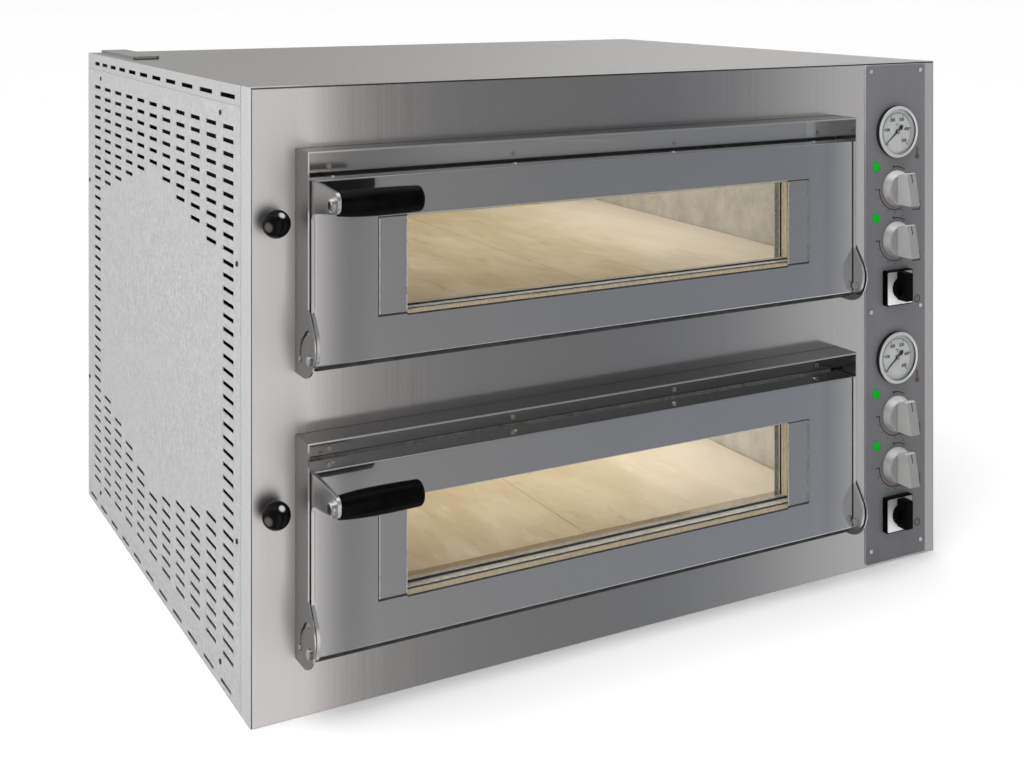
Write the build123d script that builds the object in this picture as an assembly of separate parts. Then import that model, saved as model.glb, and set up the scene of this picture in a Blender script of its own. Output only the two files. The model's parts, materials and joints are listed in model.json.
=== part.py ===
from build123d import *
import os
from math import cos, radians, sin

# Two-deck countertop electric pizza oven.
# Model frame: origin at the centre of the base footprint on the resting plane, +X to the
# user's right, -Y towards the user, +Z up.  Millimetres.
#
# Most positions below are given as a workshop drawing gives them: x from the left face of
# the casing, y behind the front face (negative is in front of it), z above the base.
# spot() turns such a position into the model frame.  Heights of a deck are those of the
# lower deck; the upper deck repeats them one DECK_PITCH higher.

# ---- casing ----
WIDTH = 1000.0
DEPTH = 795.0
HEIGHT = 690.0
DECK_PITCH = 312.5
DECKS = {"lower": 0.0, "upper": DECK_PITCH}
LEFT = -WIDTH / 2
FRONT = -DEPTH / 2
FRONT_SHEET = 1.5
CASE_SHEET = 1.2
BEND = 2.5
SIDE_RETURN = 31.8
TOP_RETURN = 14.0
SEAM = 0.3
COVER_FLANGE = 23.0
TRAY_FLANGE = 21.0
PANEL_FLANGE = 12.0
SIDE_START = SIDE_RETURN + 1.2
BAY_CUTOUT_X = (884.0, 968.5)
BAY_CUTOUTS_Z = ((33.0, 337.0), (361.0, 667.0))
THROUGH = 1.0

# ---- ventilation slots of the side panels, cover, base and back ----
SLOT_LENGTH = 40.0
SLOT_HEIGHT = 5.2
SLOT_COLUMNS = 11
SLOT_ROWS = 40
SLOT_PITCH_Y = 65.25
SLOT_PITCH_Z = 15.32
SLOT_FIRST_Y = 78.5
SLOT_FIRST_Z = 43.0
SHORT_COLUMN_ROWS = 6
COVER_SLOT_Z = 676.0
COVER_SLOT_START = 53.8
COVER_SLOT_PITCH = 85.6
COVER_SLOT_SHRINK = 0.942
COVER_SLOT_SHARE = 0.62
TRAY_SLOT_Z = 8.8
TRAY_SLOT_FIRST = 86.8
TRAY_SLOT_PITCH = 67.0
FLOOR_SLOT_COLUMNS = ((870.0, 910.0), (925.0, 965.0))
FLOOR_SLOT_ROWS = 6
FLOOR_SLOT_FIRST = 150.0
FLOOR_SLOT_PITCH = 90.0
FLOOR_SLOT_WIDTH = 6.0
BACK_SLOT_COLUMNS = (882.0, 942.0)
BACK_SLOT_ROWS = 24
BACK_SLOT_FIRST = 150.0
BACK_SLOT_PITCH = 20.0

# ---- screws ----
SIDE_SCREWS = ((106, 655), (708, 655), (106, 29), (708, 29), (45, 493), (45, 187), (783, 493), (783, 187))
BACK_SCREWS = tuple((x, z) for x in (14, 500, 986) for z in (35, 345, 655))
PLATE_SCREWS = tuple((x, z) for x in (880.5, 971.5) for z in (21.1, 349.0, 678.8))
HEADER_SCREWS = (91.0, 323.5, 556.0, 788.5)
HEADER_SCREW_Z = 287.5
DOOR_SCREWS = (88.0, 316.0, 541.0, 767.0)
DOOR_SCREW_Y = -16.0
DOOR_SCREW_HEAD = 2.4
SCREW_HEAD = 3.0
SCREW_SHANK = 1.5
SCREW_HOLE = 1.6
SCREW_RISE = 1.2
SCREW_REACH = 5.0

# ---- door surround (hood with hinge ears) ----
SURROUND_X = (51.5, 823.5)
SURROUND_SHEET = 2.0
SURROUND_FRONT = -37.0
SURROUND_BACK = 2.9
SURROUND_TOP = 309.5
SURROUND_BOTTOM = 64.5
SURROUND_FLANGE = 12.0
FIT_GAP = 0.1

# ---- door ----
DOOR_X = (55.0, 820.0)
DOOR_Z = (77.5, 278.5)
DOOR_FRONT = -37.0
DOOR_BACK = -0.5
ARM_SHEET = 4.0
ARM_FRONT = -38.5
SKIN_SHEET = 1.2
SKIN_BEND = 1.6
WINDOW_X = (133.0, 742.0)
WINDOW_Z = (124.0, 234.0)
RETAINER_WIDTH = 34.5
RETAINER_SHEET = 1.5
RETAINER_GAP = 0.8
TUNNEL_X = (150.0, 725.0)
TUNNEL_Z = (127.0, 231.0)
GLASS_THICK = 4.0
OUTER_GLASS_Y = -34.8
INNER_GLASS_Y = -8.0
PIVOT_Y = -43.0
PIVOT_Z = 87.5
PIVOT_RADIUS = 4.0
RUNNING_GAP = 0.05
STOP_RADIUS = 29.0
STOP_PIN = 2.6
STOP_REST_ANGLE = -8.0
STOP_SLOT_ANGLES = (-10.0, 84.0)
GRIP_Y = -103.5
GRIP_Z = 261.8
GRIP_LENGTH = 94.7
GRIP_DEEP = 32.0
HANDLE_BOLT = 4.0
LINER_RIM = -12.0
LINER_PAN_SHEET = 1.0
GASKET_OUTER = ((70.0, 805.0), (104.0, 274.0))
GASKET_INNER = ((80.0, 795.0), (112.0, 266.0))

# ---- baking chamber ----
CHAMBER_X = (87.5, 787.5)
CHAMBER_BACK = 716.0
CHAMBER_FLOOR = 121.0
CHAMBER_CEILING = 262.0
LINER_FLOOR = 68.0
LINER_SHEET = 1.5
LINER_FRONT = 4.6
LINER_FLANGE = 15.0
MOUTH_X = (40.0, 826.0)
MOUTH_Z = (52.0, 321.0)
MOUTH_Y = 3.0
STONE_FRONT = 24.0
STONE_THICK = 18.0
STONE_JOINT = 0.6
ELEMENT_RADIUS = 4.0
ELEMENT_SPAN = 80.0
ELEMENT_FIRST_Y = 110.0
ELEMENT_PITCH_Y = 210.0
ELEMENT_COUNT = 3
ELEMENT_Z = (86.0, 250.0)
ELEMENT_GAP = 0.3
ELEMENT_X = (150.0, 838.0)
BAY_WALL_X = 828.0
LEDGE_WIDTH = 14.0
RIB_HALF = 8.0
WOOL_X = (55.0, 826.0)
WOOL_BACK = 760.0
WOOL_Z = {"lower": (24.0, 316.0), "upper": (317.0, 684.0)}

# ---- flue and damper ----
DUCT_X = (14.0, 50.0)
DUCT_Y = (590.0, 700.0)
DUCT_FLOOR = 205.0
PORT_Y = (650.0, 690.0)
PORT_Z = (222.0, 252.0)
DAMPER_X = 23.0
DAMPER_Z = 232.0
DAMPER_ROD = 3.0
BALL_RADIUS = 15.5
BALL_Y = -18.0
BALL_FLAT = 13.5
DAMPER_END = 671.0
GATE_SHEET = 1.2
GATE_LAP = 3.0
COWL_X = (14.0, 52.0)
COWL_Y = (570.0, 770.0)
COWL_RISE = 5.0

# ---- control plate ----
PLATE_X = (871.5, 981.0)
PLATE_Z = (3.0, 687.5)
PLATE_FACE = -1.5
CONTROL_X = 926.2
GAUGE_Z = 282.2
GAUGE_CASE_RADIUS = 30.0
BEZEL_RADIUS = 35.7
DIAL_RADIUS = 32.9
NEEDLE_REST_ANGLE = 218.0
NEEDLE_LENGTH = 28.0
KNOB_Z = {"top": 203.8, "bottom": 132.9}
KNOB_RADIUS = 24.8
LAMP_X = 890.4
LAMP_RISE = 31.3
SWITCH_Z = 67.2
SWITCH_SIDE = 48.0
SWITCH_NECK = 11.0
SWITCH_SPINDLE = 4.0
DIAL_FACE = -4.2
DIAL_BACK = -3.4
LENS_FACE = -7.6
BEZEL_LIP = 31.2
CASE_BACK = 36.0
NEEDLE_FACE = -5.0
NEEDLE_SPINDLE = 1.0
KNOB_FLOOR = -2.2
KNOB_SKIRT = -14.5
KNOB_FACE_TOP = -31.5
KNOB_FACE_BOTTOM = -40.0
KNOB_BAR_HALF = 8.2
KNOB_TIP_RADIUS = 20.6
KNOB_SPINDLE = 3.0
THERMOSTAT_HALF = 19.0
LAMP_NECK = 4.5
LAMP_HEAD = 6.2

# ---- supply ----
GLAND_X = 905.0
GLAND_Z = 70.0
GLAND_THREAD = 12.0
GLAND_BORE = 7.0
GLAND_HEX = 15.0
TERMINAL_X = (865.0, 955.0)
TERMINAL_Y = (700.0, 738.0)
TERMINAL_POLES = 5
TERMINAL_PITCH = 16.5


# ---------------------------------------------------------------- helpers
def spot(x, y, z):
    """A drawing position as a point of the model frame."""
    return Vector(LEFT + x, FRONT + y, z)


def mirrored(x):
    """The x that mirrors x about the middle of the baking chambers."""
    return SURROUND_X[0] + SURROUND_X[1] - x


def block(x, y, z):
    """A box between low and high x, y and z."""
    size = Box(x[1] - x[0], y[1] - y[0], z[1] - z[0], align=(Align.MIN, Align.MIN, Align.MIN))
    return Pos(spot(x[0], y[0], z[0])) * size


def side_plane(x):
    """Sketch plane at x; its axes are y and z, and it extrudes towards +x."""
    return Plane(origin=spot(x, 0, 0), x_dir=(0, 1, 0), z_dir=(1, 0, 0))


def front_plane(y):
    """Sketch plane at y; its axes are x and z, and it extrudes towards the user."""
    return Plane(origin=spot(0, y, 0), x_dir=(1, 0, 0), z_dir=(0, -1, 0))


def rod_x(y, z, radius, x):
    """A round bar along x between the two values of x."""
    return extrude(side_plane(x[0]) * Pos(y, z) * Circle(radius), x[1] - x[0])


def rod_y(x, z, radius, y):
    """A round bar along y between the two values of y."""
    return extrude(front_plane(y[1]) * Pos(x, z) * Circle(radius), y[1] - y[0])


def rod_z(x, y, radius, z):
    """A round bar along z between the two values of z."""
    return extrude(Plane(origin=spot(0, 0, z[0])) * Pos(x, y) * Circle(radius), z[1] - z[0])


def turned_y(x, z, outline):
    """A turned part about a line along y; the outline is (radius, y) points."""
    face = Plane(origin=spot(x, 0, z)) * make_face(Polyline(*outline, close=True))
    return revolve(face, Axis(spot(x, 0, z), (0, 1, 0)))


def turned_x(y, z, outline):
    """A turned part about a line along x; the outline is (x, radius) points."""
    face = Plane(origin=spot(0, y, z)) * make_face(Polyline(*outline, close=True))
    return revolve(face, Axis(spot(0, y, z), (1, 0, 0)))


def raised(z_range, rise):
    """A pair of heights moved up by the deck's rise."""
    return (z_range[0] + rise, z_range[1] + rise)


def grown(pair, amount):
    """A low-high pair widened by amount at both ends."""
    return (pair[0] - amount, pair[1] + amount)


def group(shapes):
    """Several separate solids that share one node."""
    return Compound([solid for shape in shapes for solid in shape.solids()])


def perforated(plane, outer, openings, thickness):
    """A flat sheet on plane: outer is its low and high corners, openings the same."""
    def ring(low, high):
        corners = [low, (high[0], low[1]), high, (low[0], high[1])]
        return Wire.make_polygon([plane.from_local_coords(c) for c in corners], close=True)
    sheet = Face(ring(*outer), [ring(*opening) for opening in openings])
    return extrude(sheet, thickness, dir=plane.z_dir)


# ---------------------------------------------------------------- slots
def slot(across, z):
    """Corners of one ventilation slot centred on across, z of its sheet."""
    half_length = SLOT_LENGTH / 2
    half_height = SLOT_HEIGHT / 2
    return ((across - half_length, z - half_height), (across + half_length, z + half_height))


def side_slots():
    """Full outer columns; the inner ones stop short and leave a lozenge blank."""
    slots = []
    middle = SLOT_COLUMNS // 2
    for column in range(SLOT_COLUMNS):
        y = SLOT_FIRST_Y + column * SLOT_PITCH_Y
        kept = SHORT_COLUMN_ROWS + abs(column - middle)
        if column in (0, SLOT_COLUMNS - 1):
            kept = SLOT_ROWS // 2
        for row in range(SLOT_ROWS):
            if row < kept or row >= SLOT_ROWS - kept:
                slots.append(slot(y, SLOT_FIRST_Z + row * SLOT_PITCH_Z))
    return slots


def cover_slots():
    """The row in the cover's side flange closes up towards the back."""
    slots = []
    start = COVER_SLOT_START
    pitch = COVER_SLOT_PITCH
    for _ in range(SLOT_COLUMNS):
        low = (start, COVER_SLOT_Z - SLOT_HEIGHT / 2)
        high = (start + COVER_SLOT_SHARE * pitch, COVER_SLOT_Z + SLOT_HEIGHT / 2)
        slots.append((low, high))
        start += pitch
        pitch *= COVER_SLOT_SHRINK
    return slots


def tray_slots():
    """The even row in the base tray's side flange."""
    return [slot(TRAY_SLOT_FIRST + i * TRAY_SLOT_PITCH, TRAY_SLOT_Z) for i in range(SLOT_COLUMNS)]


# ---------------------------------------------------------------- casing
def base_tray():
    sides = (0, WIDTH)
    top = TRAY_FLANGE
    tray = block(sides, (SIDE_START, DEPTH), (0, CASE_SHEET))
    for x in (0, WIDTH - CASE_SHEET):
        wall = perforated(side_plane(x), ((SIDE_START, 0), (DEPTH, top)), tray_slots(), CASE_SHEET)
        tray += wall
    tray += block(sides, (DEPTH - CASE_SHEET, DEPTH), (0, top))
    for row in range(FLOOR_SLOT_ROWS):
        start = FLOOR_SLOT_FIRST + row * FLOOR_SLOT_PITCH
        for column in FLOOR_SLOT_COLUMNS:
            tray -= block(column, (start, start + FLOOR_SLOT_WIDTH), (-THROUGH, CASE_SHEET + THROUGH))
    return tray


def front_panel():
    """Brushed front skin with side returns, a short top return and all its openings."""
    outer = block((0, WIDTH), (0, SIDE_RETURN), (0, HEIGHT))
    front_edges = outer.edges().filter_by(Axis.Z).group_by(Axis.Y)[0]
    top_edge = outer.edges().filter_by(Axis.X).group_by(Axis.Y)[0].sort_by(Axis.Z)[-1:]
    outer = fillet(list(front_edges) + list(top_edge), BEND)
    sheet = FRONT_SHEET
    inner = block((sheet, WIDTH - sheet), (sheet, SIDE_RETURN + THROUGH), (-THROUGH, HEIGHT - sheet))
    inner_edges = inner.edges().filter_by(Axis.Z).group_by(Axis.Y)[0]
    inner = fillet(inner_edges, BEND - sheet)
    panel = outer - inner
    rear_of_top = (TOP_RETURN, SIDE_RETURN + THROUGH)
    panel -= block((sheet, WIDTH - sheet), rear_of_top, (HEIGHT - 2 * sheet, HEIGHT + THROUGH))
    through = (-THROUGH, sheet + THROUGH)
    for rise in DECKS.values():
        opening = (SURROUND_BOTTOM + rise - FIT_GAP, SURROUND_TOP + rise + FIT_GAP)
        panel -= block(grown(SURROUND_X, FIT_GAP), through, opening)
        panel -= rod_y(DAMPER_X, DAMPER_Z + rise, DAMPER_ROD + RUNNING_GAP, through)
    for cutout_z in BAY_CUTOUTS_Z:
        panel -= block(BAY_CUTOUT_X, through, cutout_z)
    for x, z in PLATE_SCREWS:
        panel -= rod_y(x, z, SCREW_HOLE, through)
    return panel


def side_panel(x, flange_x):
    """Perforated galvanised side with an inward fold at top and bottom."""
    low = TRAY_FLANGE + SEAM
    high = HEIGHT - COVER_FLANGE - SEAM
    panel = perforated(side_plane(x), ((SIDE_START, low), (DEPTH, high)), side_slots(), CASE_SHEET)
    fold_y = (SIDE_START, DEPTH - CASE_SHEET - SEAM)
    panel += block(flange_x, fold_y, (low, low + CASE_SHEET))
    panel += block(flange_x, fold_y, (high - CASE_SHEET, high))
    for y, z in SIDE_SCREWS:
        panel -= rod_x(y, z, SCREW_HOLE, (x - THROUGH, x + CASE_SHEET + THROUGH))
    return panel


def left_side_panel():
    return side_panel(0, (0, PANEL_FLANGE))


def right_side_panel():
    return side_panel(WIDTH - CASE_SHEET, (WIDTH - PANEL_FLANGE, WIDTH))


def back_panel():
    """Flat back with a field of slots behind the service bay and the cable entry."""
    low = TRAY_FLANGE + SEAM
    high = HEIGHT - COVER_FLANGE - SEAM
    openings = []
    for row in range(BACK_SLOT_ROWS):
        z = BACK_SLOT_FIRST + row * BACK_SLOT_PITCH
        openings += [slot(x, z) for x in BACK_SLOT_COLUMNS]
    inset = CASE_SHEET + SEAM
    through = (DEPTH - CASE_SHEET - THROUGH, DEPTH + THROUGH)
    sheet = perforated(front_plane(DEPTH), ((inset, low), (WIDTH - inset, high)), openings, CASE_SHEET)
    sheet -= rod_y(GLAND_X, GLAND_Z, GLAND_THREAD + FIT_GAP, through)
    for x, z in BACK_SCREWS:
        sheet -= rod_y(x, z, SCREW_HOLE, through)
    return sheet


def top_cover():
    """Galvanised lid: flat top with slotted side flanges and a rear flange."""
    low = HEIGHT - COVER_FLANGE
    sheet = CASE_SHEET
    top = (HEIGHT - sheet, HEIGHT)
    cover = block((0, WIDTH), (SIDE_START, DEPTH), top)
    lip_x = (FRONT_SHEET + SEAM, WIDTH - FRONT_SHEET - SEAM)
    cover += block(lip_x, (TOP_RETURN + SEAM, SIDE_START), top)
    for x in (0, WIDTH - sheet):
        cover += perforated(side_plane(x), ((SIDE_START, low), (DEPTH, HEIGHT)), cover_slots(), sheet)
    cover += block((0, WIDTH), (DEPTH - sheet, DEPTH), (low, HEIGHT))
    cover -= block(grown(DUCT_X, -1), grown(DUCT_Y, -1), (top[0] - THROUGH, top[1] + THROUGH))
    return cover


def steam_outlet_cowl():
    """Low pressed cowl over the flue outlet, open towards the front."""
    rim = (HEIGHT, HEIGHT + COWL_RISE)
    sheet = 1.0
    cowl = block(COWL_X, COWL_Y, rim)
    hollow_y = (COWL_Y[0] - THROUGH, COWL_Y[1] - sheet)
    hollow = block(grown(COWL_X, -sheet), hollow_y, (rim[0] - THROUGH, rim[1] - sheet))
    upright = cowl.edges().filter_by(Axis.Z).group_by(Axis.Y)[-1]
    return fillet(upright, 3 * sheet) - hollow


def casing_screws():
    """Pan-head sheet screws of the sides, the back and the control plate."""
    screws = []
    for y, z in SIDE_SCREWS:
        for edge, out in ((0, -1), (WIDTH, 1)):
            head = sorted((edge, edge + out * SCREW_RISE))
            shank = sorted((edge, edge - out * SCREW_REACH))
            screws.append(rod_x(y, z, SCREW_HEAD, head) + rod_x(y, z, SCREW_SHANK, shank))
    for x, z in BACK_SCREWS:
        head = rod_y(x, z, SCREW_HEAD, (DEPTH, DEPTH + SCREW_RISE))
        screws.append(head + rod_y(x, z, SCREW_SHANK, (DEPTH - SCREW_REACH, DEPTH)))
    for x, z in PLATE_SCREWS:
        head = rod_y(x, z, SCREW_HEAD, (PLATE_FACE - SCREW_RISE, PLATE_FACE))
        screws.append(head + rod_y(x, z, SCREW_SHANK, (PLATE_FACE, SCREW_REACH)))
    return group(screws)


def header_screws():
    """Four screws through each mouth frame, in the strip above the door."""
    screws = []
    for rise in DECKS.values():
        for x in HEADER_SCREWS:
            head = rod_y(x, HEADER_SCREW_Z + rise, SCREW_HEAD, (MOUTH_Y - SCREW_RISE, MOUTH_Y))
            shank = rod_y(x, HEADER_SCREW_Z + rise, SCREW_SHANK, (MOUTH_Y, MOUTH_Y + 2 * FRONT_SHEET))
            screws.append(head + shank)
    return group(screws)


# ---------------------------------------------------------------- door surrounds
def ear_outline(rise):
    """Side wall of the surround: straight front edge that swells into the hinge ear."""
    top_back = (SURROUND_BACK, SURROUND_TOP + rise)
    top_front = (SURROUND_FRONT, SURROUND_TOP + rise)
    shoulder = (SURROUND_FRONT, 140.5 + rise)
    brow = (-52.0, 118.5 + rise)
    chin = (-55.5, 90.0 + rise)
    heel = (-23.0, SURROUND_BOTTOM + rise)
    bottom_back = (SURROUND_BACK, SURROUND_BOTTOM + rise)
    outline = Polyline(heel, bottom_back, top_back, top_front, shoulder, brow)
    outline += ThreePointArc(brow, (-57.5, 104.0 + rise), chin)
    outline += ThreePointArc(chin, (-44.5, 72.5 + rise), heel)
    return make_face(outline)


def door_surround(rise):
    """Hood over a door: top plate, two eared walls and a flange behind the front panel."""
    sheet = SURROUND_SHEET
    low, high = SURROUND_X
    top = SURROUND_TOP + rise
    surround = block(SURROUND_X, (SURROUND_FRONT, SURROUND_BACK), (top - sheet, top))
    slot_start, slot_end = STOP_SLOT_ANGLES
    arc = CenterArc((PIVOT_Y, PIVOT_Z + rise), STOP_RADIUS, slot_start, slot_end - slot_start)
    wall = ear_outline(rise) - SlotArc(arc, 2 * (STOP_PIN + 2 * RUNNING_GAP))
    wall -= Pos(PIVOT_Y, PIVOT_Z + rise) * Circle(PIVOT_RADIUS + RUNNING_GAP)
    for x in (low, high - sheet):
        surround += extrude(side_plane(x) * wall, sheet)
    flange_y = (FRONT_SHEET + FIT_GAP, SURROUND_BACK)
    bottom = SURROUND_BOTTOM + rise
    surround += block((low - SURROUND_FLANGE, low), flange_y, (bottom, top))
    surround += block((high, high + SURROUND_FLANGE), flange_y, (bottom, top))
    flange_top = (top, top + SURROUND_FLANGE - 2)
    surround += block((low - SURROUND_FLANGE, high + SURROUND_FLANGE), flange_y, flange_top)
    return surround


def pivot_bolts():
    """Four shouldered hinge bolts, each with its retaining ring inside the door arm."""
    bolts = []
    wall = SURROUND_X[0]
    head = 2.6
    head_radius = PIVOT_RADIUS + 1.6
    ring = DOOR_X[0] + ARM_SHEET + 0.4
    ring_end = ring + 1.2
    ring_radius = PIVOT_RADIUS + 1.2
    tip = ring_end + 1.0
    for rise in DECKS.values():
        outline = [(wall - head, 0), (wall - head, head_radius - 1), (wall - head + 0.8, head_radius),
                   (wall, head_radius), (wall, PIVOT_RADIUS), (ring, PIVOT_RADIUS), (ring, ring_radius),
                   (ring_end, ring_radius), (ring_end, PIVOT_RADIUS), (tip, PIVOT_RADIUS), (tip, 0)]
        bolts.append(turned_x(PIVOT_Y, PIVOT_Z + rise, outline))
        other = [(mirrored(x), radius) for x, radius in outline]
        bolts.append(turned_x(PIVOT_Y, PIVOT_Z + rise, other))
    return group(bolts)


def mouth_frame(rise):
    """Bright plate round the chamber mouth; its upper strip shows above the door."""
    sheet = FRONT_SHEET
    back = MOUTH_Y + sheet
    frame = block(MOUTH_X, (MOUTH_Y, back), raised(MOUTH_Z, rise))
    mouth = (CHAMBER_FLOOR + rise, CHAMBER_CEILING + rise)
    frame -= block(CHAMBER_X, (MOUTH_Y - THROUGH, back + THROUGH), mouth)
    sill = (CHAMBER_FLOOR - sheet + rise, CHAMBER_FLOOR + rise)
    frame += block(grown(CHAMBER_X, -0.5), (MOUTH_Y, STONE_FRONT - 1), sill)
    for x in HEADER_SCREWS:
        frame -= rod_y(x, HEADER_SCREW_Z + rise, SCREW_HOLE, (MOUTH_Y - THROUGH, back + THROUGH))
    return frame


def mouth_frames():
    return group([mouth_frame(rise) for rise in DECKS.values()])


def gasket(rise):
    """Rope seal that the closed door presses on."""
    y = (DOOR_BACK + FIT_GAP, MOUTH_Y)
    outer = block(GASKET_OUTER[0], y, raised(GASKET_OUTER[1], rise))
    inner = block(GASKET_INNER[0], grown(y, THROUGH), raised(GASKET_INNER[1], rise))
    return outer - inner


def gaskets():
    return group([gasket(rise) for rise in DECKS.values()])


# ---------------------------------------------------------------- door
def door_skin(rise):
    """Outer pan of the door with its long window."""
    sheet = SKIN_SHEET
    x = grown(DOOR_X, -ARM_SHEET - FIT_GAP)
    z = raised(DOOR_Z, rise)
    outer = block(x, (DOOR_FRONT, DOOR_BACK - SKIN_BEND), z)
    outer = fillet(outer.faces().sort_by(Axis.Y)[0].edges(), SKIN_BEND)
    inner = block(grown(x, -sheet), (DOOR_FRONT + sheet, DOOR_BACK + THROUGH), grown(z, -sheet))
    skin = outer - inner
    through = (DOOR_FRONT - THROUGH, DOOR_FRONT + sheet + THROUGH)
    skin -= block(WINDOW_X, through, raised(WINDOW_Z, rise))
    for screw in DOOR_SCREWS:
        skin -= rod_z(screw, DOOR_SCREW_Y, SCREW_HOLE, (z[1] - sheet - THROUGH, z[1] + THROUGH))
    return skin


def door_liner(rise):
    """Inner pan of the door with the tunnel that spaces the two panes."""
    sheet = LINER_PAN_SHEET
    x = grown(DOOR_X, -ARM_SHEET - SKIN_SHEET - 2 * FIT_GAP)
    z = grown(raised(DOOR_Z, rise), -SKIN_SHEET - FIT_GAP)
    hollow_y = (LINER_RIM - THROUGH, DOOR_BACK - sheet)
    pan = block(x, (LINER_RIM, DOOR_BACK), z) - block(grown(x, -sheet), hollow_y, grown(z, -sheet))
    tunnel_z = raised(TUNNEL_Z, rise)
    tunnel_y = (OUTER_GLASS_Y + GLASS_THICK + FIT_GAP, DOOR_BACK)
    tunnel = block(grown(TUNNEL_X, sheet), tunnel_y, grown(tunnel_z, sheet))
    return pan + tunnel - block(TUNNEL_X, grown(tunnel_y, THROUGH), tunnel_z)


def door_glass(rise):
    """Outer pane behind the skin and inner pane inside the tunnel."""
    outer_y = (OUTER_GLASS_Y, OUTER_GLASS_Y + GLASS_THICK)
    outer = block(grown(WINDOW_X, 12), outer_y, grown(raised(WINDOW_Z, rise), 10))
    inner_y = (INNER_GLASS_Y, INNER_GLASS_Y + GLASS_THICK)
    inner = block(grown(TUNNEL_X, -0.3), inner_y, grown(raised(TUNNEL_Z, rise), -0.3))
    return group([outer, inner])


def glass_retainers(rise):
    """The two upright strips that clamp the ends of the outer pane."""
    y = (OUTER_GLASS_Y - FIT_GAP - RETAINER_SHEET, OUTER_GLASS_Y - FIT_GAP)
    z = grown(raised(WINDOW_Z, rise), -RETAINER_GAP)
    low, high = grown(WINDOW_X, -RETAINER_GAP)
    strips = []
    for x in ((low, low + RETAINER_WIDTH), (high - RETAINER_WIDTH, high)):
        strip = block(x, y, z)
        strips.append(chamfer(strip.faces().sort_by(Axis.Y)[0].edges(), 0.4))
    return group(strips)


def arm_foot(rise):
    """Lower part of a door arm's outline, from its front edge round the pivot."""
    front = (ARM_FRONT, 137.0 + rise)
    brow = (-52.0, 117.0 + rise)
    chin = (-54.0, 91.0 + rise)
    heel = (-36.0, DOOR_Z[0] + rise)
    foot = Line(front, brow)
    foot += ThreePointArc(brow, (-55.8, 103.5 + rise), chin)
    foot += ThreePointArc(chin, (-48.0, 80.7 + rise), heel)
    return foot, front, heel


def door_arm_right(rise):
    """Plain arm plate at the right end of the door."""
    foot, front, heel = arm_foot(rise)
    bottom = DOOR_Z[0] + rise
    top = DOOR_Z[1] + rise
    edge = Polyline(heel, (DOOR_BACK, bottom), (DOOR_BACK, top), (ARM_FRONT, top), front)
    plate = make_face(foot + edge)
    plate -= Pos(PIVOT_Y, PIVOT_Z + rise) * Circle(PIVOT_RADIUS + RUNNING_GAP)
    return extrude(side_plane(DOOR_X[1] - ARM_SHEET) * plate, ARM_SHEET) + stop_pin(rise, True)


def door_arm_left(rise):
    """Arm plate at the left end, drawn out at the top into the horn of the handle."""
    foot, front, heel = arm_foot(rise)
    bottom = DOOR_Z[0] + rise
    top = DOOR_Z[1] + rise
    brow = (-68.0, top - 0.2)
    nose_top = (-107.5, top - 3.5)
    nose = (-115.0, 264.0 + rise)
    chin = (-107.0, 252.2 + rise)
    root_low = (-52.0, 245.4 + rise)
    root = (ARM_FRONT, 236.5 + rise)
    edge = Polyline(heel, (DOOR_BACK, bottom), (DOOR_BACK, top), (ARM_FRONT, top), brow, nose_top)
    edge += ThreePointArc(nose_top, (-113.2, top - 7.4), nose)
    edge += ThreePointArc(nose, (-113.4, 256.2 + rise), chin)
    edge += Line(chin, root_low)
    edge += ThreePointArc(root_low, (-42.4, 242.9 + rise), root)
    edge += Line(root, front)
    plate = make_face(foot + edge)
    plate -= Pos(PIVOT_Y, PIVOT_Z + rise) * Circle(PIVOT_RADIUS + RUNNING_GAP)
    plate -= Pos(GRIP_Y, GRIP_Z + rise) * Circle(HANDLE_BOLT + RUNNING_GAP)
    return extrude(side_plane(DOOR_X[0]) * plate, ARM_SHEET) + stop_pin(rise, False)


def stop_pin(rise, right):
    """Stud riveted in an arm; it rides in the arc slot and limits the swing."""
    y = PIVOT_Y + STOP_RADIUS * cos(radians(STOP_REST_ANGLE))
    z = PIVOT_Z + STOP_RADIUS * sin(radians(STOP_REST_ANGLE)) + rise
    reach = (SURROUND_X[0] - 1.2, DOOR_X[0])
    if right:
        reach = (mirrored(reach[1]), mirrored(reach[0]))
    return rod_x(y, z, STOP_PIN, reach)


def handle_grip(rise):
    """Turned plastic grip: narrow at the horn, swelling, with a rounded free end."""
    start = DOOR_X[0] + ARM_SHEET + FIT_GAP
    end = start + GRIP_LENGTH
    neck = (start, 12.0)
    shoulder = (end - 5, 14.0)
    rim = (end, 9.5)
    outline = Spline(neck, (start + 12, 13.4), (start + 36, 14.6), (start + 70, 14.5), shoulder)
    outline += ThreePointArc(shoulder, (end - 1.4, 12.8), rim)
    outline += Polyline(rim, (end, 0), (start, 0), neck)
    face = Plane(origin=spot(0, GRIP_Y, GRIP_Z + rise)) * make_face(outline)
    grip = revolve(face, Axis(spot(0, GRIP_Y, GRIP_Z + rise), (1, 0, 0)))
    hole = (start - THROUGH, start + GRIP_DEEP)
    return grip - rod_x(GRIP_Y, GRIP_Z + rise, HANDLE_BOLT + RUNNING_GAP, hole)


def handle_bolt(rise):
    """Socket-head bolt with washer that holds the grip on the horn."""
    face = DOOR_X[0]
    washer = face - 1.2
    head = face - 5.2
    head_radius = 7.6
    washer_radius = 8.6
    tip = face + ARM_SHEET + GRIP_DEEP - 2
    outline = [(head, 0), (head, head_radius - 2), (head + 0.8, head_radius - 0.8), (head + 2.2, head_radius),
               (washer, head_radius), (washer, washer_radius), (face, washer_radius), (face, HANDLE_BOLT),
               (tip, HANDLE_BOLT), (tip, 0)]
    bolt = turned_x(GRIP_Y, GRIP_Z + rise, outline)
    socket = side_plane(head - THROUGH) * Pos(GRIP_Y, GRIP_Z + rise) * RegularPolygon(4.8, 6)
    return bolt - extrude(socket, THROUGH + 3)


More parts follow.
